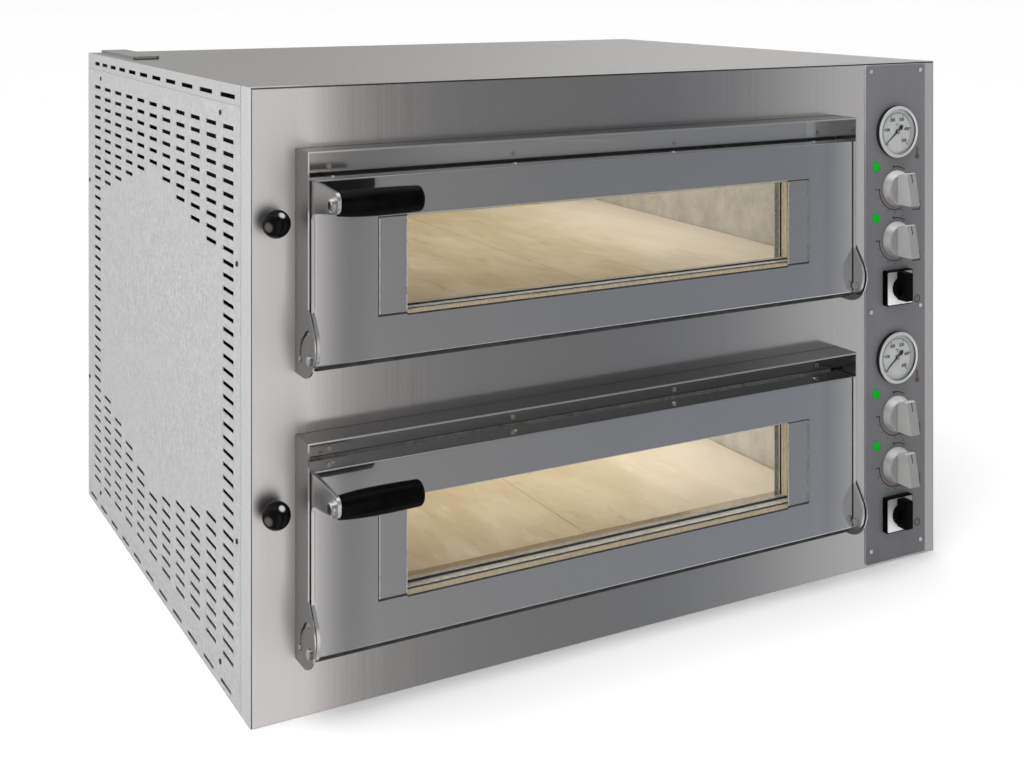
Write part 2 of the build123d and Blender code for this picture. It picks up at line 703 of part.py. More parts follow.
def door_fasteners(rise):
    """Handle bolt and the four screws in the door's top edge."""
    top = DOOR_Z[1] + rise
    parts = [handle_bolt(rise)]
    for x in DOOR_SCREWS:
        head = rod_z(x, DOOR_SCREW_Y, DOOR_SCREW_HEAD, (top, top + 1))
        parts.append(head + rod_z(x, DOOR_SCREW_Y, SCREW_SHANK, (top - SKIN_SHEET, top)))
    return group(parts)


# ---------------------------------------------------------------- baking chambers
def chamber_liner(rise):
    """Aluminised box of one chamber with its mouth flange and the slab ledges."""
    sheet = LINER_SHEET
    z = (LINER_FLOOR + rise, CHAMBER_CEILING + rise)
    y = (LINER_FRONT, CHAMBER_BACK)
    box = block(grown(CHAMBER_X, sheet), (y[0], y[1] + sheet), grown(z, sheet))
    box += block(grown(CHAMBER_X, LINER_FLANGE), (y[0], y[0] + sheet), grown(z, LINER_FLANGE))
    box -= block(CHAMBER_X, (y[0] - THROUGH, y[1]), z)
    ledge_z = (CHAMBER_FLOOR - STONE_THICK - sheet + rise, CHAMBER_FLOOR - STONE_THICK + rise)
    ledge_y = (STONE_FRONT, CHAMBER_BACK)
    box += block((CHAMBER_X[0], CHAMBER_X[0] + LEDGE_WIDTH), ledge_y, ledge_z)
    box += block((CHAMBER_X[1] - LEDGE_WIDTH, CHAMBER_X[1]), ledge_y, ledge_z)
    middle = sum(CHAMBER_X) / 2
    rib = (middle - RIB_HALF, middle + RIB_HALF)
    box += block(rib, ledge_y, (LINER_FLOOR + rise, ledge_z[1]))
    box -= block((CHAMBER_X[0] - sheet - THROUGH, CHAMBER_X[0] + THROUGH), PORT_Y, raised(PORT_Z, rise))
    right_wall = (CHAMBER_X[1] - THROUGH, CHAMBER_X[1] + sheet + THROUGH)
    for y_run, z_run in element_runs(rise):
        box -= rod_x(y_run, z_run, ELEMENT_RADIUS + ELEMENT_GAP, right_wall)
        if z_run < CHAMBER_FLOOR + rise:
            box -= rod_x(y_run, z_run, ELEMENT_RADIUS + ELEMENT_GAP, grown(rib, THROUGH))
    return box


def element_runs(rise):
    """Centres (y, z) of every straight element run of one chamber."""
    runs = []
    for z in ELEMENT_Z:
        for i in range(ELEMENT_COUNT):
            y = ELEMENT_FIRST_Y + i * ELEMENT_PITCH_Y
            runs += [(y, z + rise), (y + ELEMENT_SPAN, z + rise)]
    return runs


def heating_element(y, z):
    """One hairpin tube; both ends pass the chamber wall into the service bay."""
    bend, ends = ELEMENT_X
    far = y + ELEMENT_SPAN
    path = Line(spot(ends, y, z), spot(bend, y, z))
    nose = spot(bend - ELEMENT_SPAN / 2, y + ELEMENT_SPAN / 2, z)
    path += ThreePointArc(spot(bend, y, z), nose, spot(bend, far, z))
    path += Line(spot(bend, far, z), spot(ends, far, z))
    section = Plane(origin=spot(ends, y, z), z_dir=(-1, 0, 0)) * Circle(ELEMENT_RADIUS)
    return sweep(section, path=path)


def heating_elements():
    tubes = []
    for rise in DECKS.values():
        for z in ELEMENT_Z:
            for i in range(ELEMENT_COUNT):
                tubes.append(heating_element(ELEMENT_FIRST_Y + i * ELEMENT_PITCH_Y, z + rise))
    return group(tubes)


def stone_slabs():
    """Two fire-clay slabs side by side in each chamber."""
    slabs = []
    middle = sum(CHAMBER_X) / 2
    for rise in DECKS.values():
        z = (CHAMBER_FLOOR - STONE_THICK + rise, CHAMBER_FLOOR + rise)
        y = (STONE_FRONT, CHAMBER_BACK - 2)
        left = (CHAMBER_X[0] + 1, middle - STONE_JOINT / 2)
        right = (middle + STONE_JOINT / 2, CHAMBER_X[1] - 1)
        for x in (left, right):
            slab = block(x, y, z)
            slabs.append(chamfer(slab.faces().sort_by(Axis.Z)[-1].edges(), 0.8))
    return group(slabs)


def insulation_blanket(z, rise):
    """Mineral wool of height z wrapped round one chamber."""
    wool = block(WOOL_X, (LINER_FRONT + 2, WOOL_BACK), z)
    cavity_z = grown((LINER_FLOOR + rise, CHAMBER_CEILING + rise), LINER_SHEET + FIT_GAP)
    cavity_y = (0, CHAMBER_BACK + LINER_SHEET + FIT_GAP)
    wool -= block(grown(CHAMBER_X, LINER_SHEET + FIT_GAP), cavity_y, cavity_z)
    branch = 1.5
    wool -= block((DUCT_X[1], CHAMBER_X[0]), grown(PORT_Y, branch), grown(raised(PORT_Z, rise), branch))
    for y_run, z_run in element_runs(rise):
        wool -= rod_x(y_run, z_run, ELEMENT_RADIUS + 1, (CHAMBER_X[1], BAY_WALL_X))
    return wool


def insulation_blankets():
    return group([insulation_blanket(WOOL_Z[deck], rise) for deck, rise in DECKS.items()])


def service_bay_wall():
    """Sheet between the hot side and the wiring, pierced for the element ends."""
    x = (BAY_WALL_X, BAY_WALL_X + CASE_SHEET)
    wall = block(x, (LINER_FRONT + 2, DEPTH - 8), (3, HEIGHT - 4))
    for rise in DECKS.values():
        for y_run, z_run in element_runs(rise):
            wall -= rod_x(y_run, z_run, ELEMENT_RADIUS + ELEMENT_GAP, grown(x, THROUGH))
    return wall


# ---------------------------------------------------------------- flue and dampers
def flue_duct():
    """Common upright duct with a side branch to each chamber."""
    z = (DUCT_FLOOR, HEIGHT - CASE_SHEET)
    sheet = 1.0
    duct = block(DUCT_X, DUCT_Y, z)
    for rise in DECKS.values():
        branch_x = (DUCT_X[1] - sheet, CHAMBER_X[0] - LINER_SHEET)
        duct += block(branch_x, grown(PORT_Y, sheet), grown(raised(PORT_Z, rise), sheet))
    duct -= block(grown(DUCT_X, -sheet), grown(DUCT_Y, -sheet), (z[0] + sheet, HEIGHT))
    for rise in DECKS.values():
        duct -= block((DUCT_X[1] - 2 * sheet, CHAMBER_X[0]), PORT_Y, raised(PORT_Z, rise))
        hole = (DUCT_Y[0] - THROUGH, DUCT_Y[0] + sheet + THROUGH)
        duct -= rod_y(DAMPER_X, DAMPER_Z + rise, DAMPER_ROD + RUNNING_GAP, hole)
    return duct


def damper_rod(rise):
    """Pull rod with the gate plate that shuts the chamber's port when pushed in."""
    z = DAMPER_Z + rise
    rod = rod_y(DAMPER_X, z, DAMPER_ROD, (BALL_Y + 2, DAMPER_END))
    gate_face = DUCT_X[1] - 1.3
    web = block((DAMPER_X - 4, gate_face), (DAMPER_END - 2, DAMPER_END), (z - 8, z + 8))
    gate_z = grown(raised(PORT_Z, rise), GATE_LAP)
    gate = block((gate_face - GATE_SHEET, gate_face), grown(PORT_Y, GATE_LAP), gate_z)
    return rod + web + gate


def damper_knob(rise):
    """Ball knob screwed on the rod."""
    z = DAMPER_Z + rise
    ball = Pos(spot(DAMPER_X, BALL_Y, z)) * Sphere(BALL_RADIUS)
    flat = rod_y(DAMPER_X, z, BALL_RADIUS, (BALL_Y + BALL_FLAT, 0))
    bore = rod_y(DAMPER_X, z, DAMPER_ROD + RUNNING_GAP, (BALL_Y + 1, 0))
    return ball - flat - bore


# ---------------------------------------------------------------- controls
def control_plate():
    """Grey instrument plate with softly rounded left corners and all its holes."""
    plate = block(PLATE_X, (PLATE_FACE, 0), PLATE_Z)
    corners = plate.edges().filter_by(Axis.Y).group_by(Axis.X)[0]
    plate = fillet(corners, 4)
    through = (PLATE_FACE - THROUGH, THROUGH)
    for rise in DECKS.values():
        plate -= rod_y(CONTROL_X, GAUGE_Z + rise, GAUGE_CASE_RADIUS + FIT_GAP, through)
        plate -= rod_y(CONTROL_X, SWITCH_Z + rise, SWITCH_NECK + FIT_GAP, through)
        for knob_z in KNOB_Z.values():
            plate -= rod_y(CONTROL_X, knob_z + rise, KNOB_SPINDLE + 2, through)
            plate -= rod_y(LAMP_X, knob_z + LAMP_RISE + rise, LAMP_NECK + FIT_GAP, through)
    for x, z in PLATE_SCREWS:
        plate -= rod_y(x, z, SCREW_HOLE, through)
    return plate


def gauge_cases():
    """Drum behind the plate that carries the capillary movement."""
    cases = []
    bore = NEEDLE_SPINDLE + RUNNING_GAP
    rim = GAUGE_CASE_RADIUS
    nipple = 6.0
    nipple_end = CASE_BACK + 10
    for rise in DECKS.values():
        outline = [(bore, DIAL_BACK), (DIAL_RADIUS, DIAL_BACK), (DIAL_RADIUS, PLATE_FACE - FIT_GAP),
                   (rim, PLATE_FACE - FIT_GAP), (rim, CASE_BACK - 2), (rim - 2, CASE_BACK),
                   (nipple, CASE_BACK), (nipple, nipple_end), (bore, nipple_end)]
        cases.append(turned_y(CONTROL_X, GAUGE_Z + rise, outline))
    return group(cases)


def gauge_bezels():
    """Bright ring over the edge of the dial and the lens."""
    bezels = []
    seat = LENS_FACE - FIT_GAP
    inside = DIAL_RADIUS + FIT_GAP
    for rise in DECKS.values():
        outline = [(inside, PLATE_FACE), (BEZEL_RADIUS, PLATE_FACE), (BEZEL_RADIUS, LENS_FACE),
                   (BEZEL_RADIUS - 0.9, LENS_FACE - 1), (BEZEL_RADIUS - 2.6, LENS_FACE - 1.4),
                   (BEZEL_LIP, LENS_FACE - 0.6), (BEZEL_LIP, seat), (inside, seat)]
        bezels.append(turned_y(CONTROL_X, GAUGE_Z + rise, outline))
    return group(bezels)


def gauge_dials():
    dials = []
    bore = NEEDLE_SPINDLE + RUNNING_GAP
    for rise in DECKS.values():
        disc = rod_y(CONTROL_X, GAUGE_Z + rise, DIAL_RADIUS, (DIAL_FACE, DIAL_BACK))
        dials.append(disc - rod_y(CONTROL_X, GAUGE_Z + rise, bore, (DIAL_FACE - THROUGH, 0)))
    return group(dials)


def gauge_lenses():
    lenses = []
    for rise in DECKS.values():
        lenses.append(rod_y(CONTROL_X, GAUGE_Z + rise, DIAL_RADIUS, (LENS_FACE, LENS_FACE + 0.8)))
    return group(lenses)


def gauge_needle(rise):
    """Pointer with an arrow-shaped tail, hub and spindle, at rest near the cold end."""
    shaft = Polyline((NEEDLE_LENGTH, 0.3), (NEEDLE_LENGTH, -0.3), (0, -0.9), (-7, -1.0), (-7, -3.6),
                     (-14, 0), (-7, 3.6), (-7, 1.0), (0, 0.9), close=True)
    turn = Pos(CONTROL_X, GAUGE_Z + rise) * Rot(0, 0, NEEDLE_REST_ANGLE)
    blade = extrude(front_plane(NEEDLE_FACE) * turn * make_face(shaft), 0.5)
    hub = rod_y(CONTROL_X, GAUGE_Z + rise, 2.8, (NEEDLE_FACE - 1.3, NEEDLE_FACE + 0.4))
    spindle = rod_y(CONTROL_X, GAUGE_Z + rise, NEEDLE_SPINDLE, (NEEDLE_FACE + 0.4, CASE_BACK - 16))
    return blade + hub + spindle


def thermostat_bodies():
    """Capillary thermostats on the back of the plate."""
    bodies = []
    half = THERMOSTAT_HALF
    front = 2.5
    for rise in DECKS.values():
        for knob_z in KNOB_Z.values():
            z = knob_z + rise
            box = block((CONTROL_X - half, CONTROL_X + half), (front, 32), (z - half, z + half))
            box += rod_y(CONTROL_X, z, KNOB_SPINDLE + 1.8, (0.3, front))
            bodies.append(box - rod_y(CONTROL_X, z, KNOB_SPINDLE + RUNNING_GAP, (0, 14)))
    return group(bodies)


def heat_knob(knob_z, rise):
    """Tapered skirt, deep grip bar with a leaning front face, and the spindle it turns."""
    z = knob_z + rise
    tip = KNOB_TIP_RADIUS
    rim = [(0, KNOB_FLOOR), (KNOB_RADIUS, KNOB_FLOOR), (KNOB_RADIUS, KNOB_FLOOR - 2.5),
           (tip + 1.2, KNOB_SKIRT + 1.2), (tip, KNOB_SKIRT), (0, KNOB_SKIRT)]
    skirt = turned_y(CONTROL_X, z, rim)
    foot = KNOB_SKIRT + 0.5
    high = z + KNOB_RADIUS - 1
    low = z - tip + 0.2
    side = Polyline((foot, z + tip - 0.4), (KNOB_FACE_TOP + 3, high), (KNOB_FACE_TOP, high - 0.6),
                    (KNOB_FACE_BOTTOM, low + 1.5), (KNOB_FACE_BOTTOM + 1.5, low), (foot, low), close=True)
    bar = extrude(side_plane(CONTROL_X - KNOB_BAR_HALF) * make_face(side), 2 * KNOB_BAR_HALF)
    crown = bar.edges().filter_by(lambda edge: edge.center().Y < FRONT + KNOB_FACE_TOP + 5)
    bar = chamfer(crown.filter_by(GeomType.LINE).filter_by(Axis.X, reverse=True), 0.8)
    knob = skirt + bar - rod_y(CONTROL_X, z, KNOB_SPINDLE + RUNNING_GAP, (-16, 0))
    spindle = rod_y(CONTROL_X, z, KNOB_SPINDLE, (-15, 12))
    return group([knob, spindle])


def pilot_lamps():
    """Green indicator lamps, one for each thermostat."""
    lamps = []
    tail = 22.0
    outline = [(0, -3.8), (4.6, -3.5), (LAMP_HEAD, -2.6), (LAMP_HEAD, PLATE_FACE),
               (LAMP_NECK, PLATE_FACE), (LAMP_NECK, tail), (0, tail)]
    for rise in DECKS.values():
        for knob_z in KNOB_Z.values():
            lamps.append(turned_y(LAMP_X, knob_z + LAMP_RISE + rise, outline))
    return group(lamps)


def switch_bodies():
    """Rotary cam switches: square frame before the plate, contact block behind it."""
    bodies = []
    half = SWITCH_SIDE / 2
    for rise in DECKS.values():
        z = SWITCH_Z + rise
        frame = block((CONTROL_X - half, CONTROL_X + half), (-9.5, PLATE_FACE), (z - half, z + half))
        frame = fillet(frame.edges().filter_by(Axis.Y), 2)
        frame += rod_y(CONTROL_X, z, SWITCH_NECK, (PLATE_FACE, 2))
        frame += block((CONTROL_X - 20, CONTROL_X + 20), (2, 42), (z - 20, z + 20))
        bodies.append(frame - rod_y(CONTROL_X, z, SWITCH_SPINDLE + RUNNING_GAP, (-10, 20)))
    return group(bodies)


def switch_plates():
    """Bright escutcheons on the switch frames."""
    plates = []
    half = SWITCH_SIDE / 2 - 1.6
    for rise in DECKS.values():
        z = SWITCH_Z + rise
        plate = block((CONTROL_X - half, CONTROL_X + half), (-10.4, -9.6), (z - half, z + half))
        plate = fillet(plate.edges().filter_by(Axis.Y), 1.5)
        plates.append(plate - rod_y(CONTROL_X, z, SWITCH_NECK + 1, (-11, -9)))
    return group(plates)


def switch_handle(rise):
    """Hub with a straight grip bar and the spindle, upright when the oven is off."""
    z = SWITCH_Z + rise
    hub_radius = 14.5
    hub = turned_y(CONTROL_X, z, [(0, -10.8), (hub_radius, -10.8), (hub_radius, -15), (hub_radius - 1.5, -17),
                                  (0, -17)])
    bar = block((CONTROL_X - 7, CONTROL_X + 7), (-29, -12), (z - 15.8, z + 23.0))
    bar = fillet(bar.edges().filter_by(Axis.Z).group_by(Axis.Y)[0], 2.5)
    bar = fillet(bar.edges().filter_by(Axis.X).group_by(Axis.Y)[0], 2)
    return hub + bar + rod_y(CONTROL_X, z, SWITCH_SPINDLE, (-11, 18))


# ---------------------------------------------------------------- supply
def cable_gland():
    """Strain relief in the back panel for the supply cable."""
    inner = DEPTH - 14
    dome = DEPTH + 18
    mouth = DEPTH + 21
    outer = turned_y(GLAND_X, GLAND_Z, [(GLAND_BORE, inner), (GLAND_THREAD, inner), (GLAND_THREAD, DEPTH + 6),
                                        (GLAND_THREAD + 1, DEPTH + 7), (GLAND_THREAD, dome),
                                        (GLAND_THREAD - 3, mouth), (GLAND_BORE, mouth)])
    hexagon = Pos(GLAND_X, GLAND_Z) * RegularPolygon(GLAND_HEX, 6)
    collar = extrude(front_plane(DEPTH + 6) * hexagon, 6)
    nut = extrude(front_plane(DEPTH - 1.5) * hexagon, 5)
    return outer + collar + nut - rod_y(GLAND_X, GLAND_Z, GLAND_BORE, (inner - THROUGH, mouth + THROUGH))


def terminal_block():
    """Supply terminal on the base tray, one pole for each core."""
    base = (CASE_SHEET, CASE_SHEET + 8)
    top = base[1] + 22
    terminal = block(TERMINAL_X, TERMINAL_Y, base)
    for pole in range(TERMINAL_POLES):
        x = TERMINAL_X[0] + 5 + pole * TERMINAL_PITCH
        terminal += block((x, x + 14), grown(TERMINAL_Y, -3), (base[1], top))
        for y in grown(TERMINAL_Y, -10):
            terminal -= rod_z(x + 7, y, 3, (top - 10, top + THROUGH))
    return terminal


# ---------------------------------------------------------------- export
def all_nodes():
    nodes = {
        "base_tray": base_tray(), "front_panel": front_panel(), "left_side_panel": left_side_panel(),
        "right_side_panel": right_side_panel(), "back_panel": back_panel(), "top_cover": top_cover(),
        "steam_outlet_cowl": steam_outlet_cowl(), "casing_screws": casing_screws(),
        "header_screws": header_screws(), "pivot_bolts": pivot_bolts(), "mouth_frames": mouth_frames(),
        "door_gaskets": gaskets(), "heating_elements": heating_elements(), "stone_slabs": stone_slabs(),
        "insulation_blankets": insulation_blankets(), "service_bay_wall": service_bay_wall(),
        "flue_duct": flue_duct(), "control_plate": control_plate(), "gauge_cases": gauge_cases(),
        "gauge_bezels": gauge_bezels(), "gauge_dials": gauge_dials(), "gauge_lenses": gauge_lenses(),
        "thermostat_bodies": thermostat_bodies(), "pilot_lamps": pilot_lamps(),
        "switch_bodies": switch_bodies(), "switch_plates": switch_plates(),
        "cable_gland": cable_gland(), "terminal_block": terminal_block(),
    }
    for deck, rise in DECKS.items():
        nodes[f"{deck}_door_surround"] = door_surround(rise)
        nodes[f"{deck}_chamber_liner"] = chamber_liner(rise)
        nodes[f"{deck}_door_skin"] = door_skin(rise)
        nodes[f"{deck}_door_liner"] = door_liner(rise)
        nodes[f"{deck}_door_glass"] = door_glass(rise)
        nodes[f"{deck}_glass_retainers"] = glass_retainers(rise)
        nodes[f"{deck}_door_arm_left"] = door_arm_left(rise)
        nodes[f"{deck}_door_arm_right"] = door_arm_right(rise)
        nodes[f"{deck}_handle_grip"] = handle_grip(rise)
        nodes[f"{deck}_door_fasteners"] = door_fasteners(rise)
        nodes[f"{deck}_damper_rod"] = damper_rod(rise)
        nodes[f"{deck}_damper_knob"] = damper_knob(rise)
        nodes[f"{deck}_gauge_needle"] = gauge_needle(rise)
        nodes[f"{deck}_switch_handle"] = switch_handle(rise)
        for heat, knob_z in KNOB_Z.items():
            nodes[f"{deck}_{heat}_heat_knob"] = heat_knob(knob_z, rise)
    return nodes


os.makedirs("parts", exist_ok=True)
for node_name, shape in all_nodes().items():
    export_step(shape, f"parts/{node_name}.step")
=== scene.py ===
import json
from math import cos, pi, radians, sin

import bmesh
import bpy
from mathutils import Matrix, Vector


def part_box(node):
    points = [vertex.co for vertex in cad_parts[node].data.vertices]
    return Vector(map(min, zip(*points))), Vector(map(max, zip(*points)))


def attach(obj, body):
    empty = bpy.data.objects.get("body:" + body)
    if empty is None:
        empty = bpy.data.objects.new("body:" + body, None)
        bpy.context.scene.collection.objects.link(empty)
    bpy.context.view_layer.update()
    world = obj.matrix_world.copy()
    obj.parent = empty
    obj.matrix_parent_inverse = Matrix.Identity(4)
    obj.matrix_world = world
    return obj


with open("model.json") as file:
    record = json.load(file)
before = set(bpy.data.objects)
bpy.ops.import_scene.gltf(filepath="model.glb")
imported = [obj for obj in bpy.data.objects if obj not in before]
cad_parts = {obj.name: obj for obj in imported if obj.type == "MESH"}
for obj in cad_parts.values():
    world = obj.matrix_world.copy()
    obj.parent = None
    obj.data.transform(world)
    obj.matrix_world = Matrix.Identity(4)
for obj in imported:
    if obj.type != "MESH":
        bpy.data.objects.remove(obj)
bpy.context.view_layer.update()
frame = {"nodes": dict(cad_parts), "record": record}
NODES = frame["nodes"]

# Metres in the shared frame. Each deck repeats the lower one at its own rise.
DECKS = {"lower": 0.0, "upper": 0.3125}
CASING = "oven_casing"
LEFT = -0.5
FRONT = -0.3975
HEIGHT = 0.69
SKIN = 0.004                        # nearer than this to the left face counts as on it
CONTROL_X = 0.4262                  # line of gauges, knobs and switches
PLATE_FACE = FRONT - 0.0015         # face of the control plate
DIAL_FACE = FRONT - 0.0042          # face of the gauge dials
GAUGE_Z = 0.2822
KNOB_Z = {"top": 0.2038, "bottom": 0.1329}
BOLT_Y, BOLT_Z = FRONT - 0.1035, 0.2618      # axis of the handle bolt
SIGN_X = LEFT + 0.9663              # small signs beside the gauge and the switch
THERMOMETER_Z, POWER_Z = 0.2505, 0.0465

GAUGE_START, GAUGE_SWEEP = 225, 270          # degrees, clockwise
GAUGE_FIGURES = ("100", "200", "300", "400", "500")

# Watts.
KEY_LIGHT = 60.0
CHAMBER_GLOW = {"lower": 1.45, "upper": 1.12}
SIDE_GLOW = 0.22

CAMERA_PLACE = (-0.987, -1.874, 0.811)
CAMERA_TURN = -28.68                # degrees about +Z, level
CAMERA_LENS, CAMERA_SENSOR = 50.01, 36.0     # millimetres
FRAME_SHIFT = -0.399                # of the frame's width, downwards


def mm(x, y, z):
    """A drawing position (from the left face, behind the front face, above the base)."""
    return Vector((LEFT + x / 1000, FRONT + y / 1000, z / 1000))


# ---------------------------------------------------------------- node helpers
class Nodes:
    """A short way to write a node tree."""

    def __init__(self, tree):
        self.tree = tree
        tree.nodes.clear()

    def add(self, kind, settings=None, **inputs):
        """Makes a node; settings are its properties, inputs its sockets by name or as i0, i1, ..."""
        node = self.tree.nodes.new(kind)
        for key, value in (settings or {}).items():
            setattr(node, key, value)
        for key, value in inputs.items():
            self.plug(node, key, value)
        return node

    def plug(self, node, key, value):
        """Links a socket or a node to an input, or sets the input's value."""
        name = key.replace("_", " ")
        socket = node.inputs[int(key[1:])] if key[0] == "i" and key[1:].isdigit() else node.inputs[name]
        if isinstance(value, bpy.types.NodeSocket):
            self.tree.links.new(value, socket)
        elif isinstance(value, bpy.types.Node):
            self.tree.links.new(value.outputs[0], socket)
        else:
            socket.default_value = value

    def math(self, operation, a, b=0.0):
        """One operation on one or two numbers."""
        return self.add("ShaderNodeMath", {"operation": operation}, i0=a, i1=b).outputs[0]

    def span(self, value, low, high, to_low=0.0, to_high=1.0, smooth=True):
        """Maps low..high to to_low..to_high, clamped."""
        kind = "SMOOTHSTEP" if smooth else "LINEAR"
        return self.add("ShaderNodeMapRange", {"interpolation_type": kind}, Value=value, From_Min=low,
                        From_Max=high, To_Min=to_low, To_Max=to_high).outputs[0]

    def mix(self, factor, a, b):
        """Colour a where the factor is 0, b where it is 1."""
        node = self.add("ShaderNodeMix", {"data_type": "RGBA"}, i0=factor)
        self.plug(node, "i6", a)
        self.plug(node, "i7", b)
        return node.outputs[2]

    def coords(self, scale=(1, 1, 1)):
        """Texture space in metres, scaled along x, y and z."""
        place = self.add("ShaderNodeTexCoord").outputs["Object"]
        return self.add("ShaderNodeMapping", Vector=place, Scale=scale).outputs[0]

    def noise(self, scale, size=1.0, detail=4.0, roughness=0.55):
        """Noise stretched by the scale along x, y and z; size is its own scale."""
        return self.add("ShaderNodeTexNoise", Vector=self.coords(scale), Scale=size, Detail=detail,
                        Roughness=roughness).outputs[0]

    def bump(self, height, strength, distance, normal=None):
        """Normals that follow a height, on top of other normals if given."""
        node = self.add("ShaderNodeBump", Height=height, Strength=strength, Distance=distance)
        if normal is not None:
            self.plug(node, "Normal", normal)
        return node.outputs[0]

    def rounded(self, radius):
        """Normals that soften sharp sheet edges by radius."""
        return self.add("ShaderNodeBevel", {"samples": 4}, Radius=radius).outputs[0]

    def axes(self, vector):
        """The three numbers of a vector or colour."""
        return self.add("ShaderNodeSeparateXYZ", Vector=vector).outputs

    def place(self):
        """The point's x, y and z in the shared frame at rest."""
        return self.axes(self.add("ShaderNodeTexCoord").outputs["Object"])

    def facing(self, kind="Normal"):
        """The x, y and z of the direction the surface faces."""
        return self.axes(self.add("ShaderNodeNewGeometry").outputs[kind])


def rgb(r, g, b):
    """A linear colour."""
    return (r, g, b, 1.0)


def material(name):
    """A new material and the writer of its node tree."""
    found = bpy.data.materials.new(name)
    found.use_nodes = True
    return found, Nodes(found.node_tree)


def finish_material(n, shader):
    """Ends a node tree."""
    n.add("ShaderNodeOutputMaterial", Surface=shader)


def principled(n, **inputs):
    return n.add("ShaderNodeBsdfPrincipled", **inputs)


def scaled(n, tint, share):
    """The tint times a number."""
    node = n.add("ShaderNodeVectorMath", {"operation": "SCALE"}, i0=tint)
    n.plug(node, "Scale", share)
    return node.outputs[0]


# ---------------------------------------------------------------- metals
def pale_sides(n, shader, colour):
    """Faces turned to the left look into the white room: a pale, even zinc tone there."""
    turned_left = n.math("GREATER_THAN", n.math("MULTIPLY", n.facing("True Normal")[0], -1.0), 0.6)
    share = n.math("MULTIPLY", turned_left, n.math("LESS_THAN", n.place()[0], LEFT + SKIN))
    streak = n.noise((60, 60, 9), 4.0, 6.0, 0.65)
    grit = n.noise((1, 1, 0.6), 520.0, 3.0)
    shade = n.math("ADD", n.span(streak, 0.3, 0.7, 0.95, 1.05, False),
                   n.span(grit, 0.3, 0.7, -0.07, 0.07, False))
    pale = principled(n, Base_Color=scaled(n, colour, shade), Metallic=0.45, Roughness=0.5,
                      Normal=n.rounded(0.0005))
    return n.add("ShaderNodeMixShader", i0=share, i1=shader, i2=pale)


def sheet_metal(name, colour, rough, haze, grain, grain_depth=0.02, fold=False, edge=0.0006, haze_share=0.3,
                bow=0.0, mask=None):
    """Brushed stainless: a clear lobe and a hazy one, with streaks along the grain.

    bow tips the normals of the front panel's right half sideways, as a large thin sheet does; with it comes a
    painted reflection that darkens the strip past the control plate and brightens the left margin.
    """
    found, n = material(name)
    streak = n.noise(grain, 1.0, 5.0, 0.6)
    cloud = n.noise((1, 1, 1), 6.0, 3.0)
    shade = n.math("ADD", n.span(streak, 0.25, 0.75, 1 - grain_depth, 1 + grain_depth, False),
                   n.span(cloud, 0.3, 0.7, -0.012, 0.012))
    tint = scaled(n, colour, shade)
    if fold:
        tint = fold_lines(n, tint)
    if mask:
        tint = mask(n, tint)
    normal = n.rounded(edge)
    clear_rough = n.span(n.noise(grain, 0.7, 3.0), 0.3, 0.7, rough * 0.9, rough * 1.12, False)
    if bow:
        across = n.place()[0]
        # Painted reflection: darker past the control plate, brighter along the left margin.
        right_strip_reflection = n.span(across, 0.455, 0.47, 1.0, 0.86)
        left_margin_reflection = n.span(across, LEFT + 0.125, LEFT + 0.035, 1.0, 1.38)
        tint = scaled(n, scaled(n, tint, right_strip_reflection), left_margin_reflection)
        lean = n.add("ShaderNodeCombineXYZ", X=n.span(across, -0.10, 0.10, 0.0, bow))
        tipped = n.add("ShaderNodeVectorMath", {"operation": "ADD"}, i0=normal, i1=lean)
        normal = n.add("ShaderNodeVectorMath", {"operation": "NORMALIZE"}, i0=tipped).outputs[0]
        clear_rough = n.math("ADD", clear_rough, n.span(across, LEFT + 0.075, LEFT + 0.045, 0.0, 0.27))
    normal = n.bump(streak, 0.03, 0.0004, normal)
    clear = principled(n, Base_Color=tint, Metallic=1.0, Roughness=clear_rough, Normal=normal)
    hazy = principled(n, Base_Color=tint, Metallic=1.0, Roughness=haze, Normal=normal)
    shader = n.add("ShaderNodeMixShader", i0=haze_share, i1=clear, i2=hazy)
    finish_material(n, pale_sides(n, shader, (0.74, 0.74, 0.745)) if bow else shader)
    return found


def fold_lines(n, tint):
    """A dark line and a bright one along each outward fold, as a tight bend reflects."""
    facing = n.facing()
    front = n.math("MULTIPLY", facing[1], -1.0)
    dark = n.math("MULTIPLY", n.span(front, 0.30, 0.42), n.span(front, 0.992, 0.955))
    bright = n.math("MULTIPLY", n.span(front, 0.05, 0.12), n.span(front, 0.36, 0.28))
    tint = n.mix(dark, tint, rgb(0.10, 0.10, 0.10))
    return n.mix(bright, tint, rgb(1.0, 1.0, 1.0))


def galvanised(name, colour, metal=0.45, rough=0.5, streaks=(60, 60, 9), spangle=0.05, depth=0.07, sides=None,
               grit=0.03):
    """Zinc-coated sheet: pale flakes, fine streaks and a broken sheen."""
    found, n = material(name)
    flakes = n.add("ShaderNodeTexVoronoi", {"feature": "F1"}, Vector=n.coords(), Scale=230.0)
    tone = n.axes(flakes.outputs["Color"])[0]
    streak = n.noise(streaks, 4.0, 6.0, 0.65)
    fine = n.noise((1, 1, 0.6), 520.0, 3.0)
    shade = n.math("ADD", n.span(streak, 0.3, 0.7, 1 - depth, 1 + depth, False),
                   n.math("MULTIPLY", n.math("SUBTRACT", tone, 0.5), spangle))
    shade = n.math("ADD", shade, n.span(fine, 0.3, 0.7, -grit, grit, False))
    normal = n.bump(streak, 0.10, 0.0004, n.rounded(0.0005))
    roughness = n.span(tone, 0.0, 1.0, rough * 0.85, rough * 1.15, False)
    shader = principled(n, Base_Color=scaled(n, colour, shade), Metallic=metal, Roughness=roughness,
                        Normal=normal)
    finish_material(n, pale_sides(n, shader, sides) if sides else shader)
    return found


